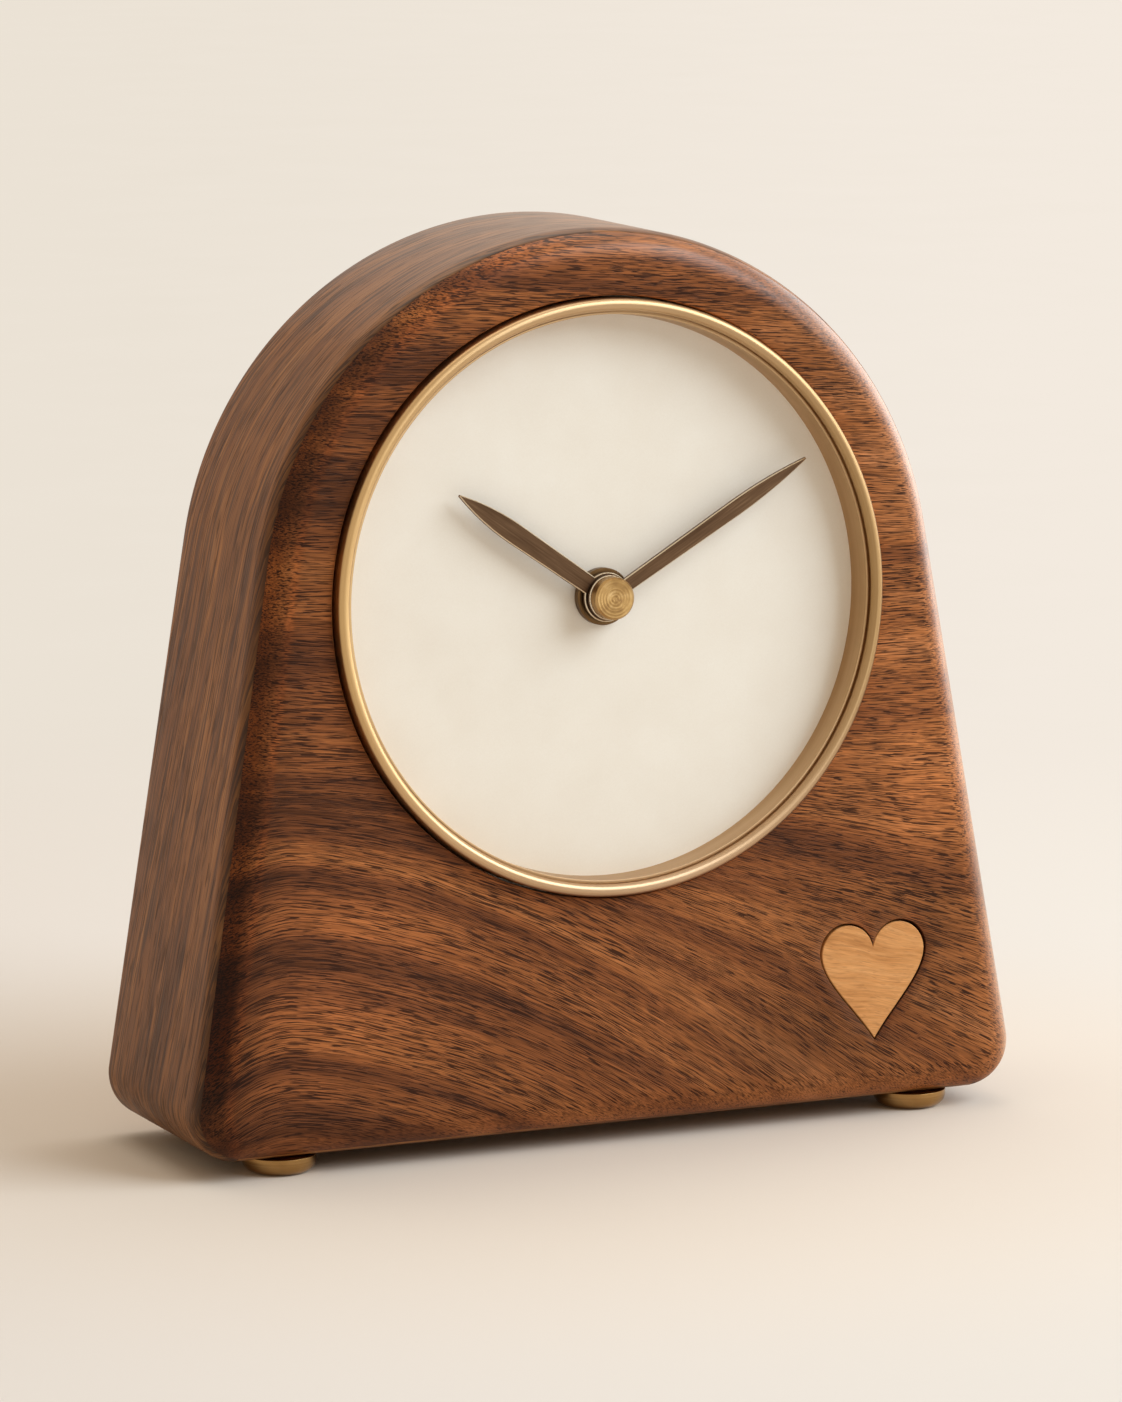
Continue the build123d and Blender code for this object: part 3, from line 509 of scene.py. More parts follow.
def turnedMetal(name, **look):
    # fine lathe lines that run round the piece, read from its lathe coordinates:
    # two for the turn, one along the profile
    material, tree, shader = startMaterial(name, {"Metallic": 1.0, "Anisotropic": look["anisotropy"]})
    tangent = addNode(tree, "ShaderNodeTangent", direction_type="RADIAL", axis=look["axis"])
    wire(tree, shader, {"Tangent": tangent.outputs[0]})
    lathe = attribute(tree, "lathe")
    lines = spread(tree, lathe, (0.4, 0.4, look["lines"]), 2.0, 0.6)
    cloud = spread(tree, lathe, (1.1, 1.1, 0.25), 3.0, 0.55, (4.0, 2.0, 7.0))
    colour = colourRamp(tree, weigh(tree, lines, cloud, 0.45), look["stops"])
    # the ring's stored tint is painted shade and painted reflection
    if look.get("tinted"):
        colour = blendColour(tree, 1.0, colour, attribute(tree, "tint", "Color"), "MULTIPLY")
    finishSurface(tree, shader, colour, lines, look, 0.00003)
    return material


def brushedMetal(name, onGrain=False, **look):
    # straight brushing along the first axis of the piece's grain coordinates, or over its object coordinates
    material, tree, shader = startMaterial(name, {"Metallic": 1.0})
    coords = attribute(tree, "grain") if onGrain else objectCoords(tree)
    lines = spread(tree, coords, look["brush"], 3.0, 0.65)
    cloud = spread(tree, coords, look["cloud"], 3.0, 0.55, (4.0, 2.0, 7.0))
    colour = colourRamp(tree, weigh(tree, lines, cloud, 0.5), look["stops"])
    finishSurface(tree, shader, colour, lines, look, 0.00003)
    return material


def mouldedPlastic(name, **look):
    # fine eroded grain with a slow drift of tone, on object coordinates
    material, tree, shader = startMaterial(name, look.get("sockets", {}))
    coords = objectCoords(tree)
    pits = spread(tree, coords, (look["pits"],) * 3, 2.0, 0.6)
    drift = spread(tree, coords, (0.08,) * 3, 3.0, 0.5)
    colour = colourRamp(tree, weigh(tree, pits, drift, 0.35), look["stops"])
    finishSurface(tree, shader, colour, pits, look, 0.0001)
    return material


brassLook = dict(lines=7.0, relief=0.18, axis="Y", anisotropy=0.6, roughness=(0.34, 0.48),
                 stops=tones("b4926a c4a37b d2b48e"))
capLook = dict(brassLook, lines=2.3, relief=0.5, stops=tones("93714a b8945f d3b380"))
# the feet's brass is a darker copy of the ring's: painted shade, for the shade under the case
footLook = dict(brassLook, lines=4.0, axis="Z", roughness=(0.12, 0.2), stops=tones("937044 a68150 b99563"))
darkBronzeLook = dict(lines=6.0, relief=0.2, axis="Y", anisotropy=0.5, roughness=(0.34, 0.48),
                      stops=tones("5b442e 72583a 876b49"))
handLook = dict(brush=(0.12, 3.6, 3.6), cloud=(0.06, 0.4, 0.4), relief=0.2, roughness=(0.36, 0.5),
                stops=tones("4f3b2b 674f3b 846a50"))
# pale colour of the hands' polished bevel: real polish, partly a painted highlight
edgeLook = dict(handLook, roughness=(0.22, 0.34), stops=tones("c9b79c d8c8ae e6d8c2"))
materials = dict(
    walnut_front=woodMaterial("walnutFront", walnutFrontLook),
    walnut_band=woodMaterial("walnutBand", walnutBandLook),
    inlay_wood=woodMaterial("inlayWood", inlayLook),
    brass=turnedMetal("turnedBrass", tinted=True, **brassLook),
    capBrass=turnedMetal("capBrass", **capLook),
    footBrass=turnedMetal("footBrass", **footLook),
    bronze=brushedMetal("brushedBronze", True, **handLook),
    brightEdge=brushedMetal("brightEdge", True, **edgeLook),
    nutBronze=turnedMetal("turnedBronze", **darkBronzeLook),
    plainBrass=brushedMetal("plainBrass", brush=(3.0, 3.0, 0.4), cloud=(0.2, 0.2, 0.2), relief=0.15,
                            roughness=(0.3, 0.42), stops=brassLook["stops"]),
    dial_cream=mouldedPlastic("dialPaint", pits=3.0, relief=0.05, roughness=(0.62, 0.72),
                              stops=tones("eae3d8 ede7dd f0ebe2")),
    screw_steel=brushedMetal("platedSteel", brush=(4.0, 0.5, 4.0), cloud=(0.3, 0.3, 0.3), relief=0.15,
                             roughness=(0.25, 0.4), stops=tones("a3a3a4 b8b8b8 cbcbca")),
    black_plastic=mouldedPlastic("blackPlastic", pits=4.0, relief=0.4, roughness=(0.45, 0.6),
                                 stops=tones("19191a 202021 29292a")),
    white_plastic=mouldedPlastic("naturalPlastic", pits=3.0, relief=0.2, roughness=(0.4, 0.55),
                                 stops=tones("dcd9cf e4e1d8 ebe9e1")),
    rubber=mouldedPlastic("softRubber", pits=5.0, relief=0.5, roughness=(0.7, 0.85),
                          stops=tones("1b1a19 232221 2c2b2a")),
    magnet=mouldedPlastic("sinteredMagnet", pits=6.0, relief=0.4, roughness=(0.4, 0.6),
                          sockets={"Metallic": 0.8}, stops=tones("47474a 57575a 67676a")),
    iron=brushedMetal("rolledIron", brush=(0.5, 4.0, 4.0), cloud=(0.3, 0.3, 0.3), relief=0.2,
                      roughness=(0.35, 0.5), stops=tones("7d7d80 8f8f92 a1a1a3")),
    copper=brushedMetal("copperWire", brush=(9.0, 0.4, 0.4), cloud=(0.4, 0.4, 0.4), relief=0.5,
                        roughness=(0.3, 0.4), stops=tones("9a5230 b5663f c97c52")),
    board_green=mouldedPlastic("glassFibreBoard", pits=2.0, relief=0.15, roughness=(0.35, 0.5),
                               stops=tones("2f5a3a 3a6a45 467850")),
    cell_wrap=mouldedPlastic("cellWrap", pits=1.5, relief=0.05, roughness=(0.22, 0.32),
                             stops=tones("2b2c2f 333438 3c3d41")),
    panel_wood=woodMaterial("panelWood", panelLook))
print("materials made:", len(materials))


def archRun(inset, bottom, corner, cornerFrom, counts=(18, 36, 60)):
    # right corner arc, leg and half arch of the case drawn in by an inset, then the same mirrored:
    # points and outward normals
    cornerZ = bottom + corner
    angles = np.linspace(cornerFrom, taper, counts[0]), np.linspace(taper, np.pi / 2, counts[2])
    cornerNormal, archNormal = [np.stack([np.cos(angle), np.sin(angle)], -1) for angle in angles]
    cornerPoints = np.array([legX(inset + corner, cornerZ), cornerZ]) + corner * cornerNormal
    archPoints = np.array([0, archCentre]) + (case["archRadius"] - inset) * archNormal
    along = np.linspace(0, 1, counts[1] + 2)[1:-1, None]
    legPoints = cornerPoints[-1] * (1 - along) + archPoints[0] * along
    points = np.concatenate([cornerPoints, legPoints, archPoints])
    normals = np.concatenate([cornerNormal, np.repeat(archNormal[:1], counts[1], 0), archNormal])
    return [np.concatenate([half, half[-2::-1] * mirror]) for half in (points, normals)]


def closedOutline(inset, bottom, corner, baseCount=60):
    # the run from corner to corner, closed by the straight base
    points, normals = archRun(inset, bottom, corner, -np.pi / 2)
    along = np.linspace(0, 1, baseCount + 2)[1:-1, None]
    base = points[-1] * (1 - along) + points[0] * along
    return np.concatenate([points, base]), np.concatenate([normals, np.repeat([[0.0, -1.0]], baseCount, 0)])


# roundover of the front: the seam's angle from the front's normal, and the angles of the side behind it
seamAngle = np.arccos(1 - case["lip"] / case["roundover"])
bevelAngle = case["seamBevel"] / case["roundover"]
sideAngles = np.append(np.linspace(seamAngle + bevelAngle, seamAngle + 0.45, 5), np.nan)


def roundEdge(points, normals, angles):
    # ball of the roundover's radius rolled in the front edge: its surface at angles from the front's normal,
    # or where it meets the side at an angle that isn't a number, and the way out at each point
    radius = case["roundover"]
    middle = depthPoints(*(points - radius * normals).T, radius)
    side = np.stack([normals[:, 0], 0 * normals[:, 0], normals[:, 1]], -1)
    whole = np.arccos(side @ faceOut)[:, None]
    angle = np.where(np.isnan(angles)[None], whole, np.nan_to_num(angles)[None])
    direction = np.sin(whole - angle)[..., None] * faceOut + np.sin(angle)[..., None] * side[:, None]
    direction /= np.sin(whole)[..., None]
    return middle[:, None] + radius * direction, direction


def seamPoints(points, normals):
    # bottom of the fine bevel that both sides of the seam have, on the seam's plane
    rim, direction = roundEdge(points, normals, np.array([seamAngle]))
    return rim[:, 0] + case["seamBevel"] * (np.cos(seamAngle) * faceOut - direction[:, 0])


# heart inlay, in millimetres on the face
heart = dict(width=21.0, height=21.3, x=49.685, rise=11.35, depth=2.4, groove=0.4, lobe=0.53, notch=0.2, side=0.24,
             sideHandle=0.47, tipHandle=(0.36, 0.73), rim=0.12, grainAngle=-14.0, count=70)


def heartLoop(scale=1.0):
    # a lobe that is an arc through three points, then a cubic flank to the tip, mirrored; counter-clockwise
    half, tall, count = heart["width"] / 2, heart["height"], heart["count"]
    notch = np.array([0, -heart["notch"] * tall])
    top, side = np.array([heart["lobe"] * half, 0]), np.array([half, -heart["side"] * tall])
    rows = 2 * np.stack([top - notch, side - notch])
    centre = np.linalg.solve(rows, np.array([top @ top - notch @ notch, side @ side - notch @ notch]))
    first, last = bearing(centre, notch), bearing(centre, side)
    lobe = arcPoints(centre, np.linalg.norm(notch - centre), first if first > last else first + 360, last, count)
    handles = np.array([side, [half, -heart["sideHandle"] * tall],
                        [heart["tipHandle"][0] * half, -heart["tipHandle"][1] * tall], [0, -tall]])
    t = np.linspace(0, 1, count)[1:, None]
    weights = np.concatenate([(1 - t) ** 3, 3 * (1 - t) ** 2 * t, 3 * (1 - t) * t ** 2, t ** 3], -1)
    right = np.concatenate([lobe, weights @ handles])
    clockwise = np.concatenate([right, right[-2:0:-1] * mirror])
    middle = np.array([0, -tall / 2])
    placed = (clockwise[::-1] - middle) * scale + middle
    return placed + np.array([heart["x"], faceFoot + heart["rise"] + tall])


# front board: recess for the dial ring, bored for the movement's bush
board = dict(recessRadius=52.4, recessDepth=5.8, rim=0.3, bushRadius=4.1, turns=288, spacing=2.6, plugCorner=0.3,
             roundRows=14, rimRows=6)
# its grain lines, and where across the face each set of coordinates is read and how much finer it is
grainRun = dict(left=-62.0, gentle=0.085, droop=0.0004, slope=0.12, curve=0.0052, flatten=300.0, beyond=0.03,
                low=(-18.0, -45.0), reach=260.0, halvings=40, rightShare=(-1.5, 5.5),
                reads=(("grain", -30.0, 1.2), ("grainRight", 40.0, 1.45), ("figure", 5.0, 1.0)))
# its tint: factors on red, green and blue; upper and lower colour the left edge, end grain with painted shade, right
# is a painted sheen; zones lighten or darken patches of the face, each a place, a reach each way and a factor
tintAndPaintedLight = dict(upper=(0.76, 0.64, 0.52), lower=(0.2, 0.125, 0.07), strip=(0.25, 0.1, 0.0), right=(0.45, 0.75, 1.05),
             low=(95.0, 25.0), sideFrom=0.3, sideSpread=0.27, sideWidth=0.5, heel=(4.0, 20.0), heelLeast=0.5,
             stripAt=(0.22, 0.13), fromEdge=(10.5, 6.0), edgeShade=0.36, edgeTop=0.25, rightFrom=(0.5, 0.85),
             zones=[(62, -60, 8, 14, 0.7), (40, -80, 22, 8, 0.66), (48, -62, 14, 10, 0.86), (-50, -62, 20, 15, 1.64),
                    (0, 58, 30, 5, 1.12), (60, -40, 9, 12, 1.48), (58, -18, 11, 12, 1.16), (-56, 30, 10, 28, 0.88),
                    (-56, -14, 8, 12, 1.14), (40, 45, 10, 12, 0.76), (46, -72, 24, 16, 0.86)])
# its gloss, by the way the surface faces, and where the pores close
gloss = dict(turned=(0.98, 0.78), right=(-0.35, 0.15), upper=(-0.4, -0.1), full=0.98, topLoss=0.16,
             top=(100.0, 132.0), poresRight=0.05, poresLow=-0.3)


def grainDrop(u, start):
    # how far a grain line that starts at a height on the left falls to the right: gently above,
    # in long arcs below the dial
    d = u - grainRun["left"]
    gentle = grainRun["gentle"] * d - grainRun["droop"] * np.maximum(u, 0) ** 2
    arc = grainRun["slope"] * d + grainRun["curve"] * d ** 2 / (1 + np.maximum(d, 0) / grainRun["flatten"])
    low = ease(ramp(start, *grainRun["low"]))
    return (1 - low) * gentle + low * np.where(d > 0, arc, grainRun["beyond"] * d ** 2)


def grainAcross(u, v, at):
    # the line through each point, found by halving, then its height where it passes a given place across the face
    low, high = np.full(u.shape, -grainRun["reach"]), np.full(u.shape, grainRun["reach"])
    for step in range(grainRun["halvings"]):
        start = (low + high) / 2
        above = start - grainDrop(u, start) > v
        low, high = np.where(above, low, start), np.where(above, start, high)
    return start - grainDrop(np.full(u.shape, at), start)


def boardTint(u, v, normals, height):
    # left edge brown, partly its end grain and partly painted shade that deepens towards the foot, with a red strip
    # where it meets the face;
    # right edge paler, a painted sheen; zones of the face lighter or darker
    upper, lower, strip, pale = [np.array(tintAndPaintedLight[key]) for key in ("upper", "lower", "strip", "right")]
    left, right = np.maximum(-normals[:, 0], 0), np.maximum(normals[:, 0], 0)
    # left edge: end grain and painted shade, darker towards the foot
    low = ramp(height, *tintAndPaintedLight["low"])
    start = tintAndPaintedLight["sideFrom"] - tintAndPaintedLight["sideSpread"] * low
    side = ease(ramp(left, start, start + tintAndPaintedLight["sideWidth"]))
    side *= np.maximum(ramp(height, *tintAndPaintedLight["heel"]), tintAndPaintedLight["heelLeast"])
    low, side = low[:, None], side[:, None]
    tint = 1 - side * (1 - (upper * (1 - low) + lower * low))
    tint *= 1 + bell(left, *tintAndPaintedLight["stripAt"])[:, None] * strip
    # painted shade that grows over the last millimetres before the left leg's edge
    near = ramp(case["archRadius"] - legReach(-u, height), *tintAndPaintedLight["fromEdge"])[:, None]
    tint *= 1 - tintAndPaintedLight["edgeShade"] * near * (tintAndPaintedLight["edgeTop"] + (1 - tintAndPaintedLight["edgeTop"]) * low) * (1 - side)
    # painted sheen: the right edge paler towards its outer part
    tint *= 1 + ramp(right, *tintAndPaintedLight["rightFrom"])[:, None] * pale
    for zoneU, zoneV, reachU, reachV, factor in tintAndPaintedLight["zones"]:
        tint *= 1 + (factor - 1) * (bell(u, zoneU, reachU) * bell(v, zoneV, reachV))[:, None]
    return tint


def makeFrontBoard():
    # rounded edge as far as the seam, a plug that fits between the legs, then the recess, the pocket and the back
    points, normals = closedOutline(0, case["footHeight"], case["cornerRadius"])
    rounded = roundEdge(points, normals, np.linspace(0, seamAngle - bevelAngle, board["roundRows"]))[0]
    plugFoot = case["footHeight"] + case["baseThickness"] + case["clearance"]
    plug = closedOutline(case["wall"] + case["clearance"], plugFoot, board["plugCorner"])[0]
    rows = [*np.swapaxes(rounded, 0, 1), seamPoints(points, normals)]
    rows += [depthPoints(*plug.T, depth) for depth in (case["lip"], case["boardThickness"])]
    parts = [gridPart(np.stack(rows))]
    radius, rim, bush = board["recessRadius"], board["rim"], board["bushRadius"]
    floor, back = -board["recessDepth"], -case["boardThickness"]
    pocket = heartLoop()
    pocketRim = inward(pocket, -heart["rim"])
    edge, rear = faceCoords(rounded[:, 0])[:, :2], faceCoords(rows[-1])[:, :2]
    holes = [circle(radius + rim, board["turns"]), pocketRim]
    parts += [fillPart(edge, holes, facePoints, 0.0, board["spacing"])]
    corner = arcPoints((radius + rim, -rim), rim, 90, 180, board["rimRows"])
    profile = np.concatenate([corner, [[radius, floor], [bush, floor], [bush, back]]])
    parts += [lathePart(profile, board["turns"], facePoints)]
    parts += [wallPart([pocketRim, pocket, pocket], [0.0, -heart["rim"], -heart["depth"]], facePoints)]
    parts += [fillPart(pocket, [], facePoints, -heart["depth"])]
    parts += [fillPart(rear, [circle(bush, board["turns"])], facePoints, back)]
    piece = makePiece("frontBoard", parts, "case", ["front_board"], materials["walnut_front"])
    p, normals = meshPoints(piece), meshNormals(piece)
    u, v, w = faceCoords(p).T
    for name, at, finer in grainRun["reads"]:
        storeVector(piece, name, u * finer, grainAcross(u, v, at) * finer, w * finer)
    storeValue(piece, "rightShare", ramp(u, *grainRun["rightShare"]))
    storeVector(piece, "tint", *boardTint(u, v, normals, p[:, 2]).T)
    # gloss where the surface turns from the front on the right and above, a little less near the top
    across, up, away = normals[:, 0], normals[:, 2], ramp(normals @ faceOut, *gloss["turned"])
    curved = away * ramp(across, *gloss["right"]) * ramp(up, *gloss["upper"])
    storeValue(piece, "polish", curved * (gloss["full"] - gloss["topLoss"] * ramp(p[:, 2], *gloss["top"])))
    # one where pores are open; they close on the right and lower roundings
    storeValue(piece, "open", np.where((across > gloss["poresRight"]) | (up < gloss["poresLow"]), 1 - away, 1))


# band of sides and arch: points in corner, leg and half arch, then its grain and painted shade
band = dict(counts=(22, 60, 90), sideRows=7, backRows=9, slant=0.1, intoWood=0.3, front=(0.0, 0.5), frontShade=0.6,
            low=(60.0, 0.0), lowShade=0.25, polish=(0.7, 1.0))


def runDistance(points):
    # distance along the band from the top of the arch: turn about the arch's centre, then down the legs
    x, z = points[:, 0], points[:, 2] - archCentre
    side = np.where(x >= 0, 1.0, -1.0)
    turn = np.pi / 2 - np.arctan2(z, np.abs(x))
    whole = np.pi / 2 - taper
    down = np.abs(x) * np.sin(taper) - z * np.cos(taper)
    return side * (case["archRadius"] * np.minimum(turn, whole) + np.where(turn < whole, 0.0, down))


def makeCaseBand():
    # rows from the seam over the side and the back's rounding to the rebate, the inner wall and back to the seam
    wall, rebate, counts = case["wall"], case["rebate"], band["counts"]
    cornerEnd = taper - np.arccos((case["cornerRadius"] - wall) / case["cornerRadius"])
    points, normals = archRun(0, case["footHeight"], case["cornerRadius"], cornerEnd, counts)
    rounded = roundEdge(points, normals, sideAngles)[0]
    back, small = case["depth"] / 2, case["backRadius"]
    inBack = back - case["panelDepth"]

    def shell(inset, y):
        # the run drawn in by an inset, at a depth
        place = points - inset * normals
        return np.stack([place[:, 0], np.broadcast_to(y, len(place)), place[:, 1]], -1)

    rows = list(np.swapaxes(rounded, 0, 1))
    start = rounded[:, -1, 1]
    rows += [shell(0, start + (back - small - start) * t) for t in np.linspace(0, 1, band["sideRows"])[1:]]
    rows += [shell(small - small * np.cos(t), back - small + small * np.sin(t))
             for t in np.linspace(0, np.pi / 2, band["backRows"])[1:]]
    atRebate = len(rows)
    rows += [shell(rebate, back), shell(rebate, inBack), shell(wall, inBack)]
    rows += [depthPoints(*(points - wall * normals).T, case["lip"]), seamPoints(points, normals)]
    grid = np.stack(rows, 1)
    # below the legs' ends the band stops at the line where the base board begins
    side = np.where(points[:, :1] >= 0, 1.0, -1.0)
    past = legReach(side * grid[..., 0], grid[..., 2]) - (case["archRadius"] - wall)
    heel = np.zeros(len(points), bool)
    heel[:counts[0]] = heel[-counts[0]:] = True
    push = np.where(heel[:, None] & (past < 0), -past, 0.0)
    grid[..., 0] += push * np.cos(taper) * side
    grid[..., 2] += push * np.sin(taper)
    # the rebate runs straight down each leg to a level ledge, then in to the base board
    ledge, k = case["footHeight"] + case["baseThickness"] - rebate, np.arange(counts[0])
    bend, last = counts[0] // 3, counts[0] - 1
    for order in (k, len(points) - 1 - k):
        topRebate, topWall = grid[order[-1], atRebate, 2], grid[order[-1], atRebate + 2, 2]
        z = ledge + (topRebate - ledge) * ramp(k, bend, last)
        x = legX(wall, z) + (legX(rebate, z) - legX(wall, z)) * np.minimum(k / bend, 1)
        wallZ = ledge + (topWall - ledge) * k / last
        for row, legSide, height in ((0, x, z), (1, x, z), (2, legX(wall, wallZ), wallZ)):
            grid[order, atRebate + row, 0] = side[order[0], 0] * legSide
            grid[order, atRebate + row, 2] = height
    piece = makePiece("caseBand", tubeParts(grid), "case", ["case_band"], materials["walnut_band"])
    # the grain runs along the band, a little aslant, and carries on over the back edge
    p, normals, run = meshPoints(piece), meshNormals(piece), runDistance(meshPoints(piece))
    x, rise = np.abs(p[:, 0]), p[:, 2] - archCentre
    reach = np.where(np.arctan2(rise, x) < taper, legReach(x, p[:, 2]), np.hypot(x, rise))
    inset = np.clip(case["archRadius"] - reach, 0, wall)
    storeVector(piece, "grain", run, p[:, 1] + inset + band["slant"] * run, band["intoWood"] * inset)
    # painted shade: darker where it faces the front on the left, and towards the foot
    front = ramp(normals @ faceOut, *band["front"]) * (normals[:, 0] < 0)
    shade = (1 - band["frontShade"] * front) * (1 - band["lowShade"] * ramp(p[:, 2], *band["low"]))
    storeVector(piece, "tint", shade, shade, shade)
    storeValue(piece, "polish", ramp(normals[:, 2], *band["polish"]))


base = dict(columns=81, backRows=9, grainStart=300.0)


def makeBaseBoard():
    # profile from the seam under the board to the back's rounding, the ledge and the top, carried from leg to leg
    bottom, back, small = case["footHeight"], case["depth"] / 2, case["backRadius"]
    top, corner, inBack = bottom + case["baseThickness"], case["cornerRadius"], back - case["panelDepth"]
    station, down = np.array([[0.0, bottom]]), np.array([[0.0, -1.0]])
    rounded, seam = roundEdge(station, down, sideAngles)[0][0], seamPoints(station, down)[0]
    turn = np.linspace(0, np.pi / 2, base["backRows"])
    curve = np.stack([back - small + small * np.sin(turn), bottom + small - small * np.cos(turn)], -1)
    ledge = top - case["rebate"]
    lipY = depthPoints(0.0, top, case["lip"])[1]
    ends = [[back, ledge], [inBack, ledge], [inBack, top], [lipY, top], [seam[1], seam[2]]]
    y, z = np.concatenate([rounded[:, 1:], curve, ends]).T
    x = np.linspace(-1, 1, base["columns"])[:, None] * legX(case["wall"], z)
    # near its ends the underside rises with the case's lower corners
    past = np.clip(np.abs(x) - legX(corner, bottom + corner), 0, corner)
    z = z + (corner - np.sqrt(corner ** 2 - past ** 2)) * ramp(z, ledge, bottom)
    grid = np.stack(np.broadcast_arrays(x, y, z), -1)
    piece = makePiece("baseBoard", tubeParts(grid), "case", ["base_board"], materials["walnut_band"])
    p = meshPoints(piece)
    storeVector(piece, "grain", p[:, 0] + base["grainStart"], p[:, 1], p[:, 2])
    storeVector(piece, "tint", *np.ones_like(p).T)


def makeHeart():
    # plate that leaves a groove round it in its pocket
    loop = heartLoop(1 - 2 * heart["groove"] / heart["width"])
    parts = platePart(loop, [], -heart["depth"], 0.0, heart["rim"], facePoints)
    piece = makePiece("heartInlay", parts, "case", ["heart_inlay"], materials["inlay_wood"])
    u, v, w = faceCoords(meshPoints(piece)).T
    storeVector(piece, "grain", *turned(u, v, -np.radians(heart["grainAngle"])), w)


makeFrontBoard()
makeCaseBand()
makeBaseBoard()
makeHeart()
print("case made")


def latheCoords(piece, toLocal):
    # turn as a point on a unit circle, and distance along the profile taken as radius less height
    x, y, height = toLocal(meshPoints(piece)).T
    radius = np.hypot(x, y)
    safe = np.maximum(radius, 1e-6)
    storeVector(piece, "lathe", x / safe, y / safe, radius - height)


# dial ring, as in the solid: half-round lip, fine groove, ledge, wall down to the dial; then painted shade and
# painted reflection on its lip
ring = dict(radius=52.0, proud=2.3, lip=2.2, groove=0.25, grooveDepth=0.5, ledge=0.35, ledgeDrop=0.5, draft=0.2,
            setback=4.8, edge=0.07, arris=0.03, turns=360, lipFrom=(0.4, 1.0), gather=1.5,
            right=(-0.28, -0.33, -0.46), left=(0.15, 0.13, -0.06), low=(0.02, 0.04, 0.18))


def makeBezel():
    # the profile from the outer foot over the lip, the groove and the ledge to the inner foot
    radius, arris, foot = ring["radius"], ring["arris"], -ring["setback"]
    lipRadius = ring["lip"] / 2
    ledge = ring["proud"] - lipRadius - ring["ledgeDrop"]
    grooveOut, grooveFloor = radius - ring["lip"], ledge - ring["grooveDepth"]
    grooveIn = grooveOut - ring["groove"]
    ledgeIn = grooveIn - ring["ledge"]
    lip = arcPoints((radius - lipRadius, ring["proud"] - lipRadius), lipRadius, 0, 180, 29)
    edge = arcPoints((ledgeIn + ring["edge"], ledge - ring["edge"]), ring["edge"], 90, 178, 6)
    groove = [[grooveOut, grooveFloor], [grooveIn, grooveFloor], [grooveIn, ledge - arris], [grooveIn - arris, ledge]]
    profile = np.concatenate([[[radius, foot]], lip, groove, edge, [[ledgeIn - ring["draft"], foot], [radius, foot]]])
    parts = [lathePart(profile, ring["turns"], facePoints)]
    piece = makePiece("bezelRing", parts, "case", ["bezel_ring"], materials["brass"])
    latheCoords(piece, faceCoords)
    # painted shade and painted reflection on the lip: darker on the right, paler on the left and below
    u, v, w = faceCoords(meshPoints(piece)).T
    paintedShadeAndReflection = sum(np.clip(way / radius, 0, 1)[:, None] ** ring["gather"] * np.array(ring[name])
                 for name, way in dict(right=u, left=-u, low=-v).items())
    storeVector(piece, "tint", *(1 + ramp(w, *ring["lipFrom"])[:, None] * paintedShadeAndReflection).T)


# hands, at ten past ten; heights are measured from the front face; facing is the slope of the bright bevel
hands = dict(
    hour=dict(turn=305.0, length=33.418, root=3.2, shoulder=3.7, hub=4.3, bore=2.5, low=-2.55),
    minute=dict(turn=60.0, length=44.394, root=2.4, shoulder=2.9, hub=3.9, bore=1.5, low=-1.4),
    shoulderShare=0.62, tip=0.3, thickness=0.8, bevel=0.16, hubTurns=120, boreTurns=60, facing=(0.2, 0.95))


def handLoop(hand):
    # side that widens to the shoulder, arc that leaves it straight on and meets the tip, mirrored,
    # closed round the hub
    shoulder = np.array([hand["shoulder"] / 2, hands["shoulderShare"] * hand["length"]])
    tip = np.array([hands["tip"] / 2, hand["length"]])
    root = np.array([hand["root"] / 2, 0.0])
    slope = (shoulder[0] - root[0]) / shoulder[1]
    a, b, c = 1 + slope ** 2, 2 * root[0] * slope, root[0] ** 2 - hand["hub"] ** 2
    startY = (-b + np.sqrt(b * b - 4 * a * c)) / (2 * a)
    start = np.array([root[0] + slope * startY, startY])
    side = start + (shoulder - start) * np.linspace(0, 1, 30)[:, None]
    ahead = (shoulder - root) / np.linalg.norm(shoulder - root)
    normal = np.array([-ahead[1], ahead[0]])
    chord = tip - shoulder
    radius = chord @ chord / (2 * normal @ chord)
    centre = shoulder + radius * normal
    curve = arcPoints(centre, radius, bearing(centre, shoulder), bearing(centre, tip), 40)[1:]
    right = np.concatenate([side, curve])
    opening = bearing(np.zeros(2), start)
    hub = arcPoints((0, 0), hand["hub"], 180 - opening, 360 + opening, hands["hubTurns"])[1:-1]
    return np.concatenate([right, right[::-1] * mirror, hub])


def makeHand(name, hand, body, node):
    # bevelled plate turned about the dial's axis, its bevel polished and pale, partly a painted highlight
    turn = -np.radians(hand["turn"])

    def lift(x, y, w):
        return facePoints(*turned(x, y, turn), w)

    holes = [circle(hand["bore"], hands["boreTurns"])]
    parts = platePart(handLoop(hand), holes, hand["low"], hand["low"] + hands["thickness"], hands["bevel"], lift)
    piece = makePiece(name, parts, body, [node], materials["bronze"], 20.0)
    u, v, w = faceCoords(meshPoints(piece)).T
    across, along = turned(u, v, -turn)
    storeVector(piece, "grain", along, across, w)
    slope = readVectors(piece.data.polygons, "normal") @ faceOut
    secondMaterial(piece, materials["brightEdge"], (slope > hands["facing"][0]) & (slope < hands["facing"][1]))


# cap nut on the dial's axis: radius and height over the front face
cap = dict(radius=3.7, low=-0.6, high=1.7, chamfer=0.35, grooves=6, grooveDepth=0.012, dish=0.03, rim=0.08,
           heel=0.12, bore=1.1, boreTop=0.8, rows=90, turns=128)


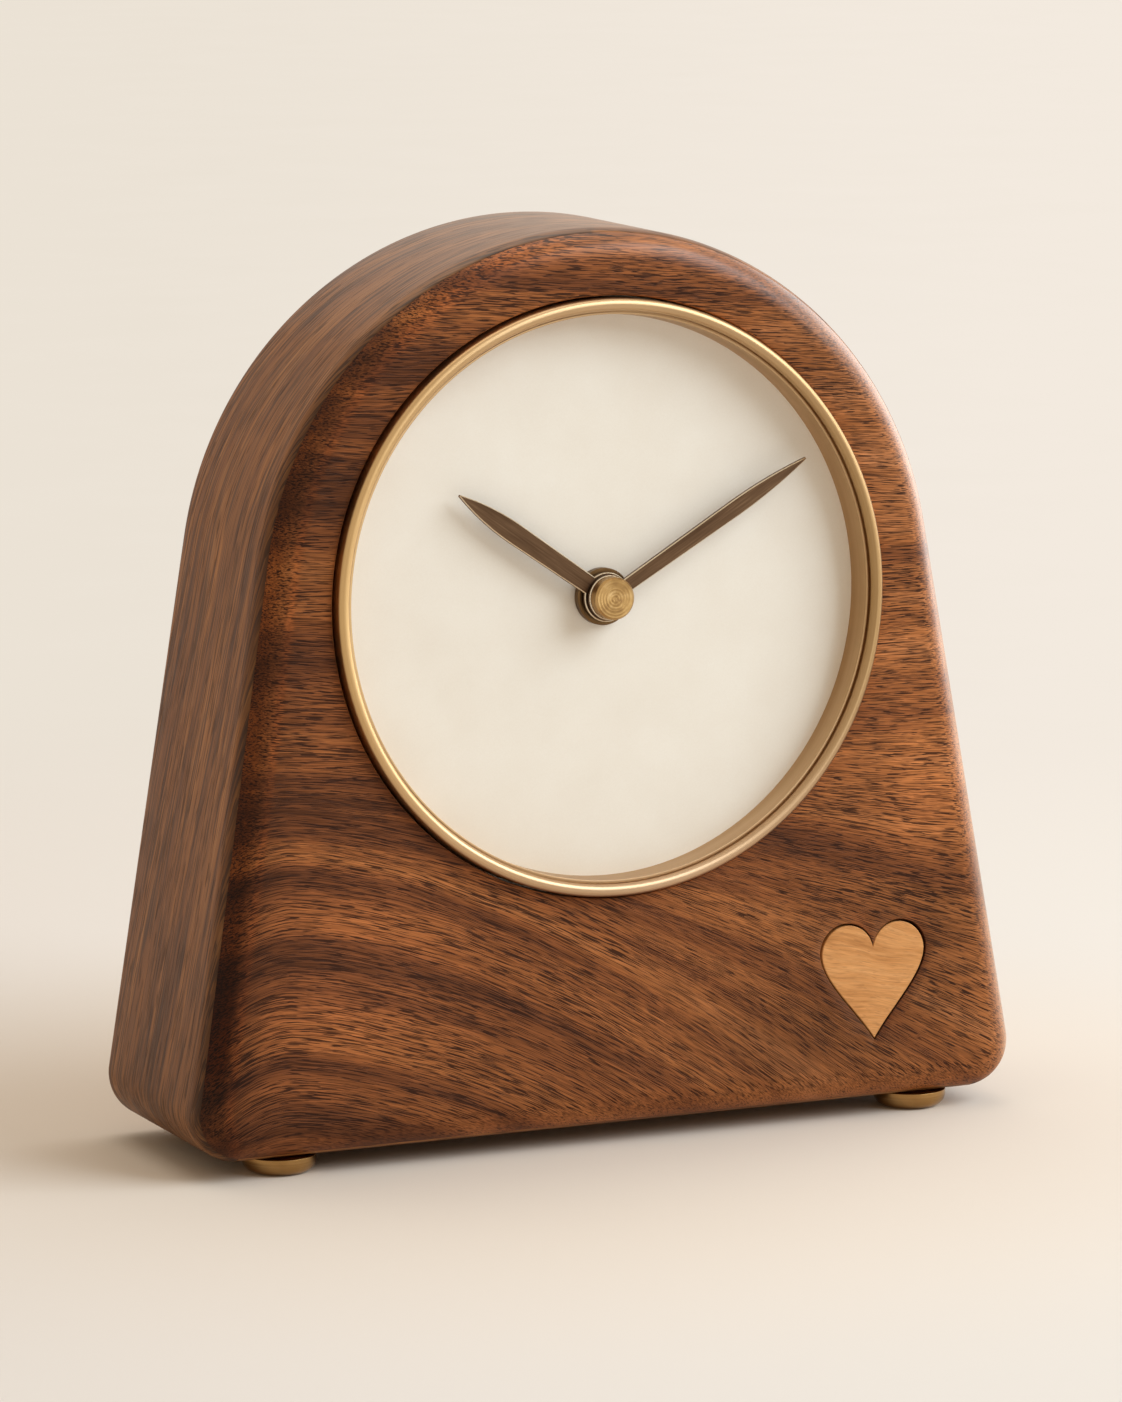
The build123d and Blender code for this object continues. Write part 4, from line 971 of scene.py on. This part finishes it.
def makeCap():
    # dished top with rings that rise and fall as a cosine of the radius, chamfer, side and blind bore
    radius, low, rim, heel = cap["radius"], cap["low"], cap["rim"], cap["heel"]
    r = np.linspace(0, radius - cap["chamfer"], cap["rows"])
    share = r / r[-1]
    rings = cap["grooveDepth"] * (1 - np.cos(2 * np.pi * cap["grooves"] * share))
    top = np.stack([r, cap["high"] - rings - cap["dish"] * (1 - share ** 2)], -1)
    shoulder = arcPoints((radius - rim, cap["high"] - cap["chamfer"] - rim), rim, 45, 0, 5)
    foot = arcPoints((radius - heel, low + heel), heel, 0, -90, 5)
    bore = [[cap["bore"], low], [cap["bore"], cap["boreTop"]], [0.0, cap["boreTop"]]]
    parts = [lathePart(np.concatenate([top, shoulder, foot, bore]), cap["turns"], facePoints)]
    piece = makePiece("capNut", parts, "minute_hand", ["cap_nut"], materials["capBrass"], 25.0)
    latheCoords(piece, faceCoords)


feet = dict(radius=6.5, height=3.1, edge=2.3, rim=0.06, spread=61.18, setback=9.2, sinkRadius=2.9, sinkDepth=1.4,
            sinkEdge=0.1, bore=1.6, turns=96)


def makeFoot(name, node, x, y):
    # turned button with a wide rounding below and a sunk hole for its screw
    bore, sink, deep, small = feet["bore"], feet["sinkRadius"], feet["sinkDepth"], feet["sinkEdge"]
    edge = arcPoints((feet["radius"] - feet["edge"], feet["edge"]), feet["edge"], -90, 0, 15)
    rim = arcPoints((feet["radius"] - feet["rim"], feet["height"] - feet["rim"]), feet["rim"], 0, 90, 8)
    profile = np.concatenate([[[bore, deep], [sink, deep], [sink, small], [sink + small, 0.0]], edge, rim,
                              [[bore, feet["height"]], [bore, deep]]])

    def lift(u, v, w):
        return np.stack(np.broadcast_arrays(x + u, y + v, w), -1)

    parts = [lathePart(profile, feet["turns"], lift)]
    piece = makePiece(name, parts, "case", [node], materials["footBrass"])
    latheCoords(piece, lambda p: p - np.array([x, y, 0]))


makeBezel()
makeHand("hourHand", hands["hour"], "hour_hand", "hour_hand")
makeHand("minuteHand", hands["minute"], "minute_hand", "minute_hand")
makeCap()
footY = frontEdge + feet["setback"]
for place, sx, sy in (("front_left", -1, 1), ("front_right", 1, 1), ("rear_left", -1, -1), ("rear_right", 1, -1)):
    makeFoot("foot" + place.title().replace("_", ""), "foot_" + place, sx * feet["spread"], sy * footY)
print("ring, hands and feet made")

# back panel's screws: slotted countersunk heads, flush with the panel
screws = dict(head=2.0, shank=1.0, length=13.0, slotWidth=0.5, slotDepth=0.4, wall=6.75, archAngle=50.0,
              legHeight=26.0, face=22.5, rows=10, columns=21, turns=40, slotTurns=(20, 65, 110, 150))


def screwPlaces():
    # two on the right, on the arch and on the leg, both as far in from the outline, then the same on the left
    onArch = arcPoints((0, archCentre), case["archRadius"] - screws["wall"], screws["archAngle"], 0, 1)[0]
    right = [onArch, np.array([legX(screws["wall"], screws["legHeight"]), screws["legHeight"]])]
    return right + [place * mirror for place in right]


def screwParts(x, z, slotTurn):
    # head as rows across the slot, each as long as the circle allows, sunk between the slot's two walls
    r, half, shank, rows = screws["head"], screws["slotWidth"] / 2, screws["shank"], screws["rows"]
    side = np.linspace(half, r, rows)
    row = np.concatenate([-side[::-1], [-half, half], side])
    sunk = np.zeros(len(row))
    sunk[rows:rows + 2] = screws["slotDepth"]
    reach = np.sqrt(np.maximum(r * r - row ** 2, 0))[:, None] * np.linspace(-1, 1, screws["columns"])

    def lift(u, v, w):
        across, up = turned(u, v, np.radians(slotTurn))
        return np.stack(np.broadcast_arrays(x + across, screws["face"] + w, z + up), -1)

    profile = np.array([[r, 0.0], [shank, shank - r], [shank, shank - screws["length"]], [0.0, -screws["length"]]])
    head = gridPart(lift(reach, row[:, None], -sunk[:, None]), closed=False)
    return [head, lathePart(profile, screws["turns"], lift)]


panelParts = sum([screwParts(x, z, turn) for (x, z), turn in zip(screwPlaces(), screws["slotTurns"])], [])
makePiece("panelScrews", panelParts, "case", ["back_panel_screws"], materials["plainBrass"])

# cell in the movement's open bay; places on the face, heights below it; the band is what the wrap leaves bare
cell = dict(radius=7.252, length=50.5, nubRadius=2.75, nubLength=1.3, left=-24.1, v=-19.248, w=-19.652, edge=0.7,
            dish=((0.0, 0.3), (4.6, 0.3), (4.9, 0.0)), collar=(4.4, 4.2), collarDepth=0.35, nubEdge=0.3, band=0.2,
            turns=96)


def makeCell():
    # dished heel, can with rounded ends, sunk collar and nub
    body, long, small = cell["length"] - cell["nubLength"], cell["length"], cell["nubEdge"]
    r, e, sunk = cell["radius"], cell["edge"], body - cell["collarDepth"]
    heel, shoulder = arcPoints((r - e, e), e, -90, 0, 8), arcPoints((r - e, body - e), e, 0, 90, 8)
    collar = [[cell["collar"][0], body], [cell["collar"][1], sunk], [cell["nubRadius"], sunk]]
    nub = arcPoints((cell["nubRadius"] - small, long - small), small, 0, 90, 5)
    profile = np.concatenate([cell["dish"], heel, shoulder, collar, nub, [[0, long]]])

    def lift(a, b, height):
        return facePoints(cell["left"] + height, cell["v"] + a, cell["w"] + b)

    parts = [lathePart(profile, cell["turns"], lift)]
    piece = makePiece("batteryCell", parts, "case", ["battery_cell"], materials["cell_wrap"])
    along = readVectors(piece.data.polygons, "center")[:, 0] / mm - cell["left"]
    secondMaterial(piece, materials["screw_steel"], (along < cell["band"]) | (along > body - cell["band"]))


# setting knob behind the movement's cover
knob = dict(radius=6.0, u=19.208, v=0.0, low=-32.1, high=-27.6, flutes=18, fluteDepth=0.55, fluteWidth=0.62,
            bevel=0.5, stem=1.0, count=720, stemCount=40)


def makeKnob():
    # circle less a half-ellipse at each flute, as a bevelled plate
    angle = np.arange(knob["count"]) * 2 * np.pi / knob["count"]
    offset = (angle * knob["flutes"] / (2 * np.pi) + 0.5) % 1 - 0.5
    arc = offset * 2 * np.pi * knob["radius"] / knob["flutes"]
    radius = knob["radius"] - knob["fluteDepth"] * np.sqrt(np.maximum(1 - (arc / knob["fluteWidth"]) ** 2, 0))
    loop = np.stack([radius * np.cos(angle), radius * np.sin(angle)], -1)

    def lift(a, b, w):
        return facePoints(knob["u"] - a, knob["v"] + b, knob["low"] + knob["high"] - w)

    hole = circle(knob["stem"], knob["stemCount"])
    parts = platePart(loop, [hole], knob["low"], knob["high"], knob["bevel"], lift)
    makePiece("settingKnob", parts, "setting_knob", ["setting_knob"], materials["black_plastic"], 40.0)


makeCell()
makeKnob()
print("screws, cell and knob made")

# CAD nodes that stay get the finish of their slot, brass and bronze ones a finish that needs no stored grain
slotOf = {row["node"]: row["material_slot"] for row in frame["record"]["subparts"]}
onObject = dict(brass="plainBrass", bronze="nutBronze")
for name, node in frame["nodes"].items():
    node.data.materials.clear()
    node.data.materials.append(materials[onObject.get(slotOf[name], slotOf[name])])
backPanel, dialNut = frame["nodes"]["back_panel"], frame["nodes"]["dial_nut"]
storeVector(backPanel, "grain", *meshPoints(backPanel)[:, [0, 2, 1]].T)
latheCoords(dialNut, faceCoords)
print("finishes given to", len(slotOf), "nodes")

# flat floor, in metres, that fades into the colour of the room
stage = dict(radius=9.0, innerRadius=0.1, rings=40, turns=72, fadeFrom=0.16, fadeTo=0.5,
             left=tone("ebe2d5"), right=tone("f3eadf"), near=tone("e4dad0"), nearFrom=0.06, nearTo=0.2,
             litLeft=tone("e1dcd9"), litRight=tone("e0dcd9"), drift=16.0, driftShare=0.4,
             across=(0.908, -0.4187, 0.0), along=(0.4187, 0.908, 0.0), fanStart=1.2, fanLeast=0.2, fanReach=0.085)


def seenRays(tree):
    # one for rays that show a surface to the camera, straight or by way of gloss or glass
    path = addNode(tree, "ShaderNodeLightPath")
    return calc(tree, "MAXIMUM", calc(tree, "MAXIMUM", path.outputs["Is Camera Ray"], path.outputs["Is Glossy Ray"]),
                path.outputs["Is Transmission Ray"])


def makeStage():
    # flat disc of rings that widen outwards
    radius = np.concatenate([[0.0], np.geomspace(stage["innerRadius"], stage["radius"], stage["rings"])])[:, None]
    angle = np.arange(stage["turns"]) * 2 * np.pi / stage["turns"]
    points, faces = gridPart(np.stack([radius * np.cos(angle), radius * np.sin(angle), 0 * radius * angle], -1))
    mesh = closedMesh("floor", points, faces, 1e-6, outward=False)
    floor = linked("floor", mesh)
    material, tree, shader = startMaterial("paleCard", {"Roughness": 0.9, "Specular IOR Level": 0.1})
    coords = addNode(tree, "ShaderNodeTexCoord").outputs["Object"]
    drift = calc(tree, "SUBTRACT", spread(tree, coords, (stage["drift"],) * 3, 5.0, 0.65), 0.5)
    # tone drifts from left to right over a fan that opens towards the back: painted light, the room seen brighter to
    # the right and the lit floor a touch darker there
    across, along = [vectorCalc(tree, "DOT_PRODUCT", {0: coords, 1: stage[key]}, "Value") for key in ("across", "along")]
    fan = calc(tree, "MAXIMUM", calc(tree, "ADD", along, stage["fanStart"]), stage["fanLeast"])
    level = remap(tree, calc(tree, "DIVIDE", across, fan), -stage["fanReach"], stage["fanReach"], smooth=True)
    level = calc(tree, "MULTIPLY_ADD", drift, stage["driftShare"], level, clamp=True)
    colour = colourRamp(tree, level, [(0.0, stage["left"]), (1.0, stage["right"])])
    lit = colourRamp(tree, level, [(0.0, stage["litLeft"]), (1.0, stage["litRight"])])
    away = vectorCalc(tree, "LENGTH", {0: coords}, "Value")
    # painted warm bounce light: the floor close to the object takes a warmer tone
    lit = blendColour(tree, remap(tree, away, stage["nearFrom"], stage["nearTo"], smooth=True), stage["near"], lit)
    wire(tree, shader, {"Base Color": lit})
    fade = remap(tree, away, stage["fadeFrom"], stage["fadeTo"], smooth=True)
    glow = addNode(tree, "ShaderNodeEmission", {"Color": colour})
    mixing = {0: calc(tree, "MULTIPLY", fade, seenRays(tree)), 1: shader.outputs[0], 2: glow.outputs[0]}
    wire(tree, tree.nodes["Material Output"], {"Surface": addNode(tree, "ShaderNodeMixShader", mixing).outputs[0]})
    mesh.materials.append(material)


room = dict(light=(1.0, 0.81, 0.57, 1.0), strength=0.48, seen=tone("f0e7da"))


def makeWorld():
    # even room light; the camera and gloss see the pale room instead
    world = bpy.data.worlds.new("room")
    bpy.context.scene.world = world
    world.use_nodes = True
    tree = world.node_tree
    light = tree.nodes["Background"]
    wire(tree, light, {"Color": room["light"], "Strength": room["strength"]})
    seen = addNode(tree, "ShaderNodeBackground", {"Color": room["seen"], "Strength": 1.0})
    blend = addNode(tree, "ShaderNodeMixShader", {0: seenRays(tree), 1: light.outputs[0], 2: seen.outputs[0]})
    wire(tree, tree.nodes["World Output"], {"Surface": blend.outputs[0]})


def aimed(made, place, aim):
    # stands at a place in metres and looks at another
    made.location = place
    made.rotation_euler = (Vector(aim) - Vector(place)).to_track_quat("-Z", "Y").to_euler()


# the photograph's camera: degrees, millimetres, and pixels of a picture that many wide
view = dict(azimuth=-24.75, elevation=9.33, distance=1193.2, target=(0.0, -1.5, 80.0), focal=6785.9, width=1122.0,
            offsetRight=9.28, offsetUp=24.08, sensor=36.0, clip=(0.05, 20.0))


def makeCamera():
    # stands back from the target along the view, and aims off it by the offset in pixels
    a, e = np.radians(view["azimuth"]), np.radians(view["elevation"])
    back = np.array([np.sin(a) * np.cos(e), -np.cos(a) * np.cos(e), np.sin(e)])
    right = np.array([np.cos(a), np.sin(a), 0])
    up = np.cross(back, right)
    target = np.array(view["target"])
    offset = (right * view["offsetRight"] + up * view["offsetUp"]) * view["distance"] / view["focal"]
    data = bpy.data.cameras.new("camera")
    data.sensor_fit = "HORIZONTAL"
    data.sensor_width = view["sensor"]
    data.lens = view["focal"] / view["width"] * view["sensor"]
    data.clip_start, data.clip_end = view["clip"]
    camera = linked("camera", data)
    aimed(camera, ((target + back * view["distance"]) * mm).tolist(), ((target - offset) * mm).tolist())
    bpy.context.scene.camera = camera


# lamps, in metres, degrees and watts
lamps = dict(
    key=dict(place=(0.95, -0.8, 1.0), aim=(0.0, 0.0, 0.08), size=(1.1, 1.1), spread=180.0, power=20.4,
             colour=(0.83, 0.93, 1.0)),
    top=dict(place=(0.0, 0.3, 1.15), aim=(0.0, 0.0, 0.1), size=(1.0, 0.8), spread=180.0, power=3.6,
             colour=(1.0, 0.93, 0.84)),
    rim=dict(place=(0.8, 0.15, 0.3), aim=(0.0, 0.0, 0.08), size=(1.1, 0.55), spread=90.0, power=1.4,
             colour=(0.92, 0.96, 1.0)))


def makeLamp(name, lamp):
    # flat rectangle of light that the camera doesn't see
    data = bpy.data.lights.new(name, "AREA")
    data.shape = "RECTANGLE"
    data.size, data.size_y = lamp["size"]
    data.energy, data.color = lamp["power"], lamp["colour"]
    data.spread = np.radians(lamp["spread"])
    made = linked(name, data)
    aimed(made, lamp["place"], lamp["aim"])
    made.visible_camera = False


makeStage()
makeCamera()
makeWorld()
for name, lamp in lamps.items():
    makeLamp(name, lamp)
bpy.context.scene.view_settings.view_transform = "Standard"
print("stage, camera and lamps made")
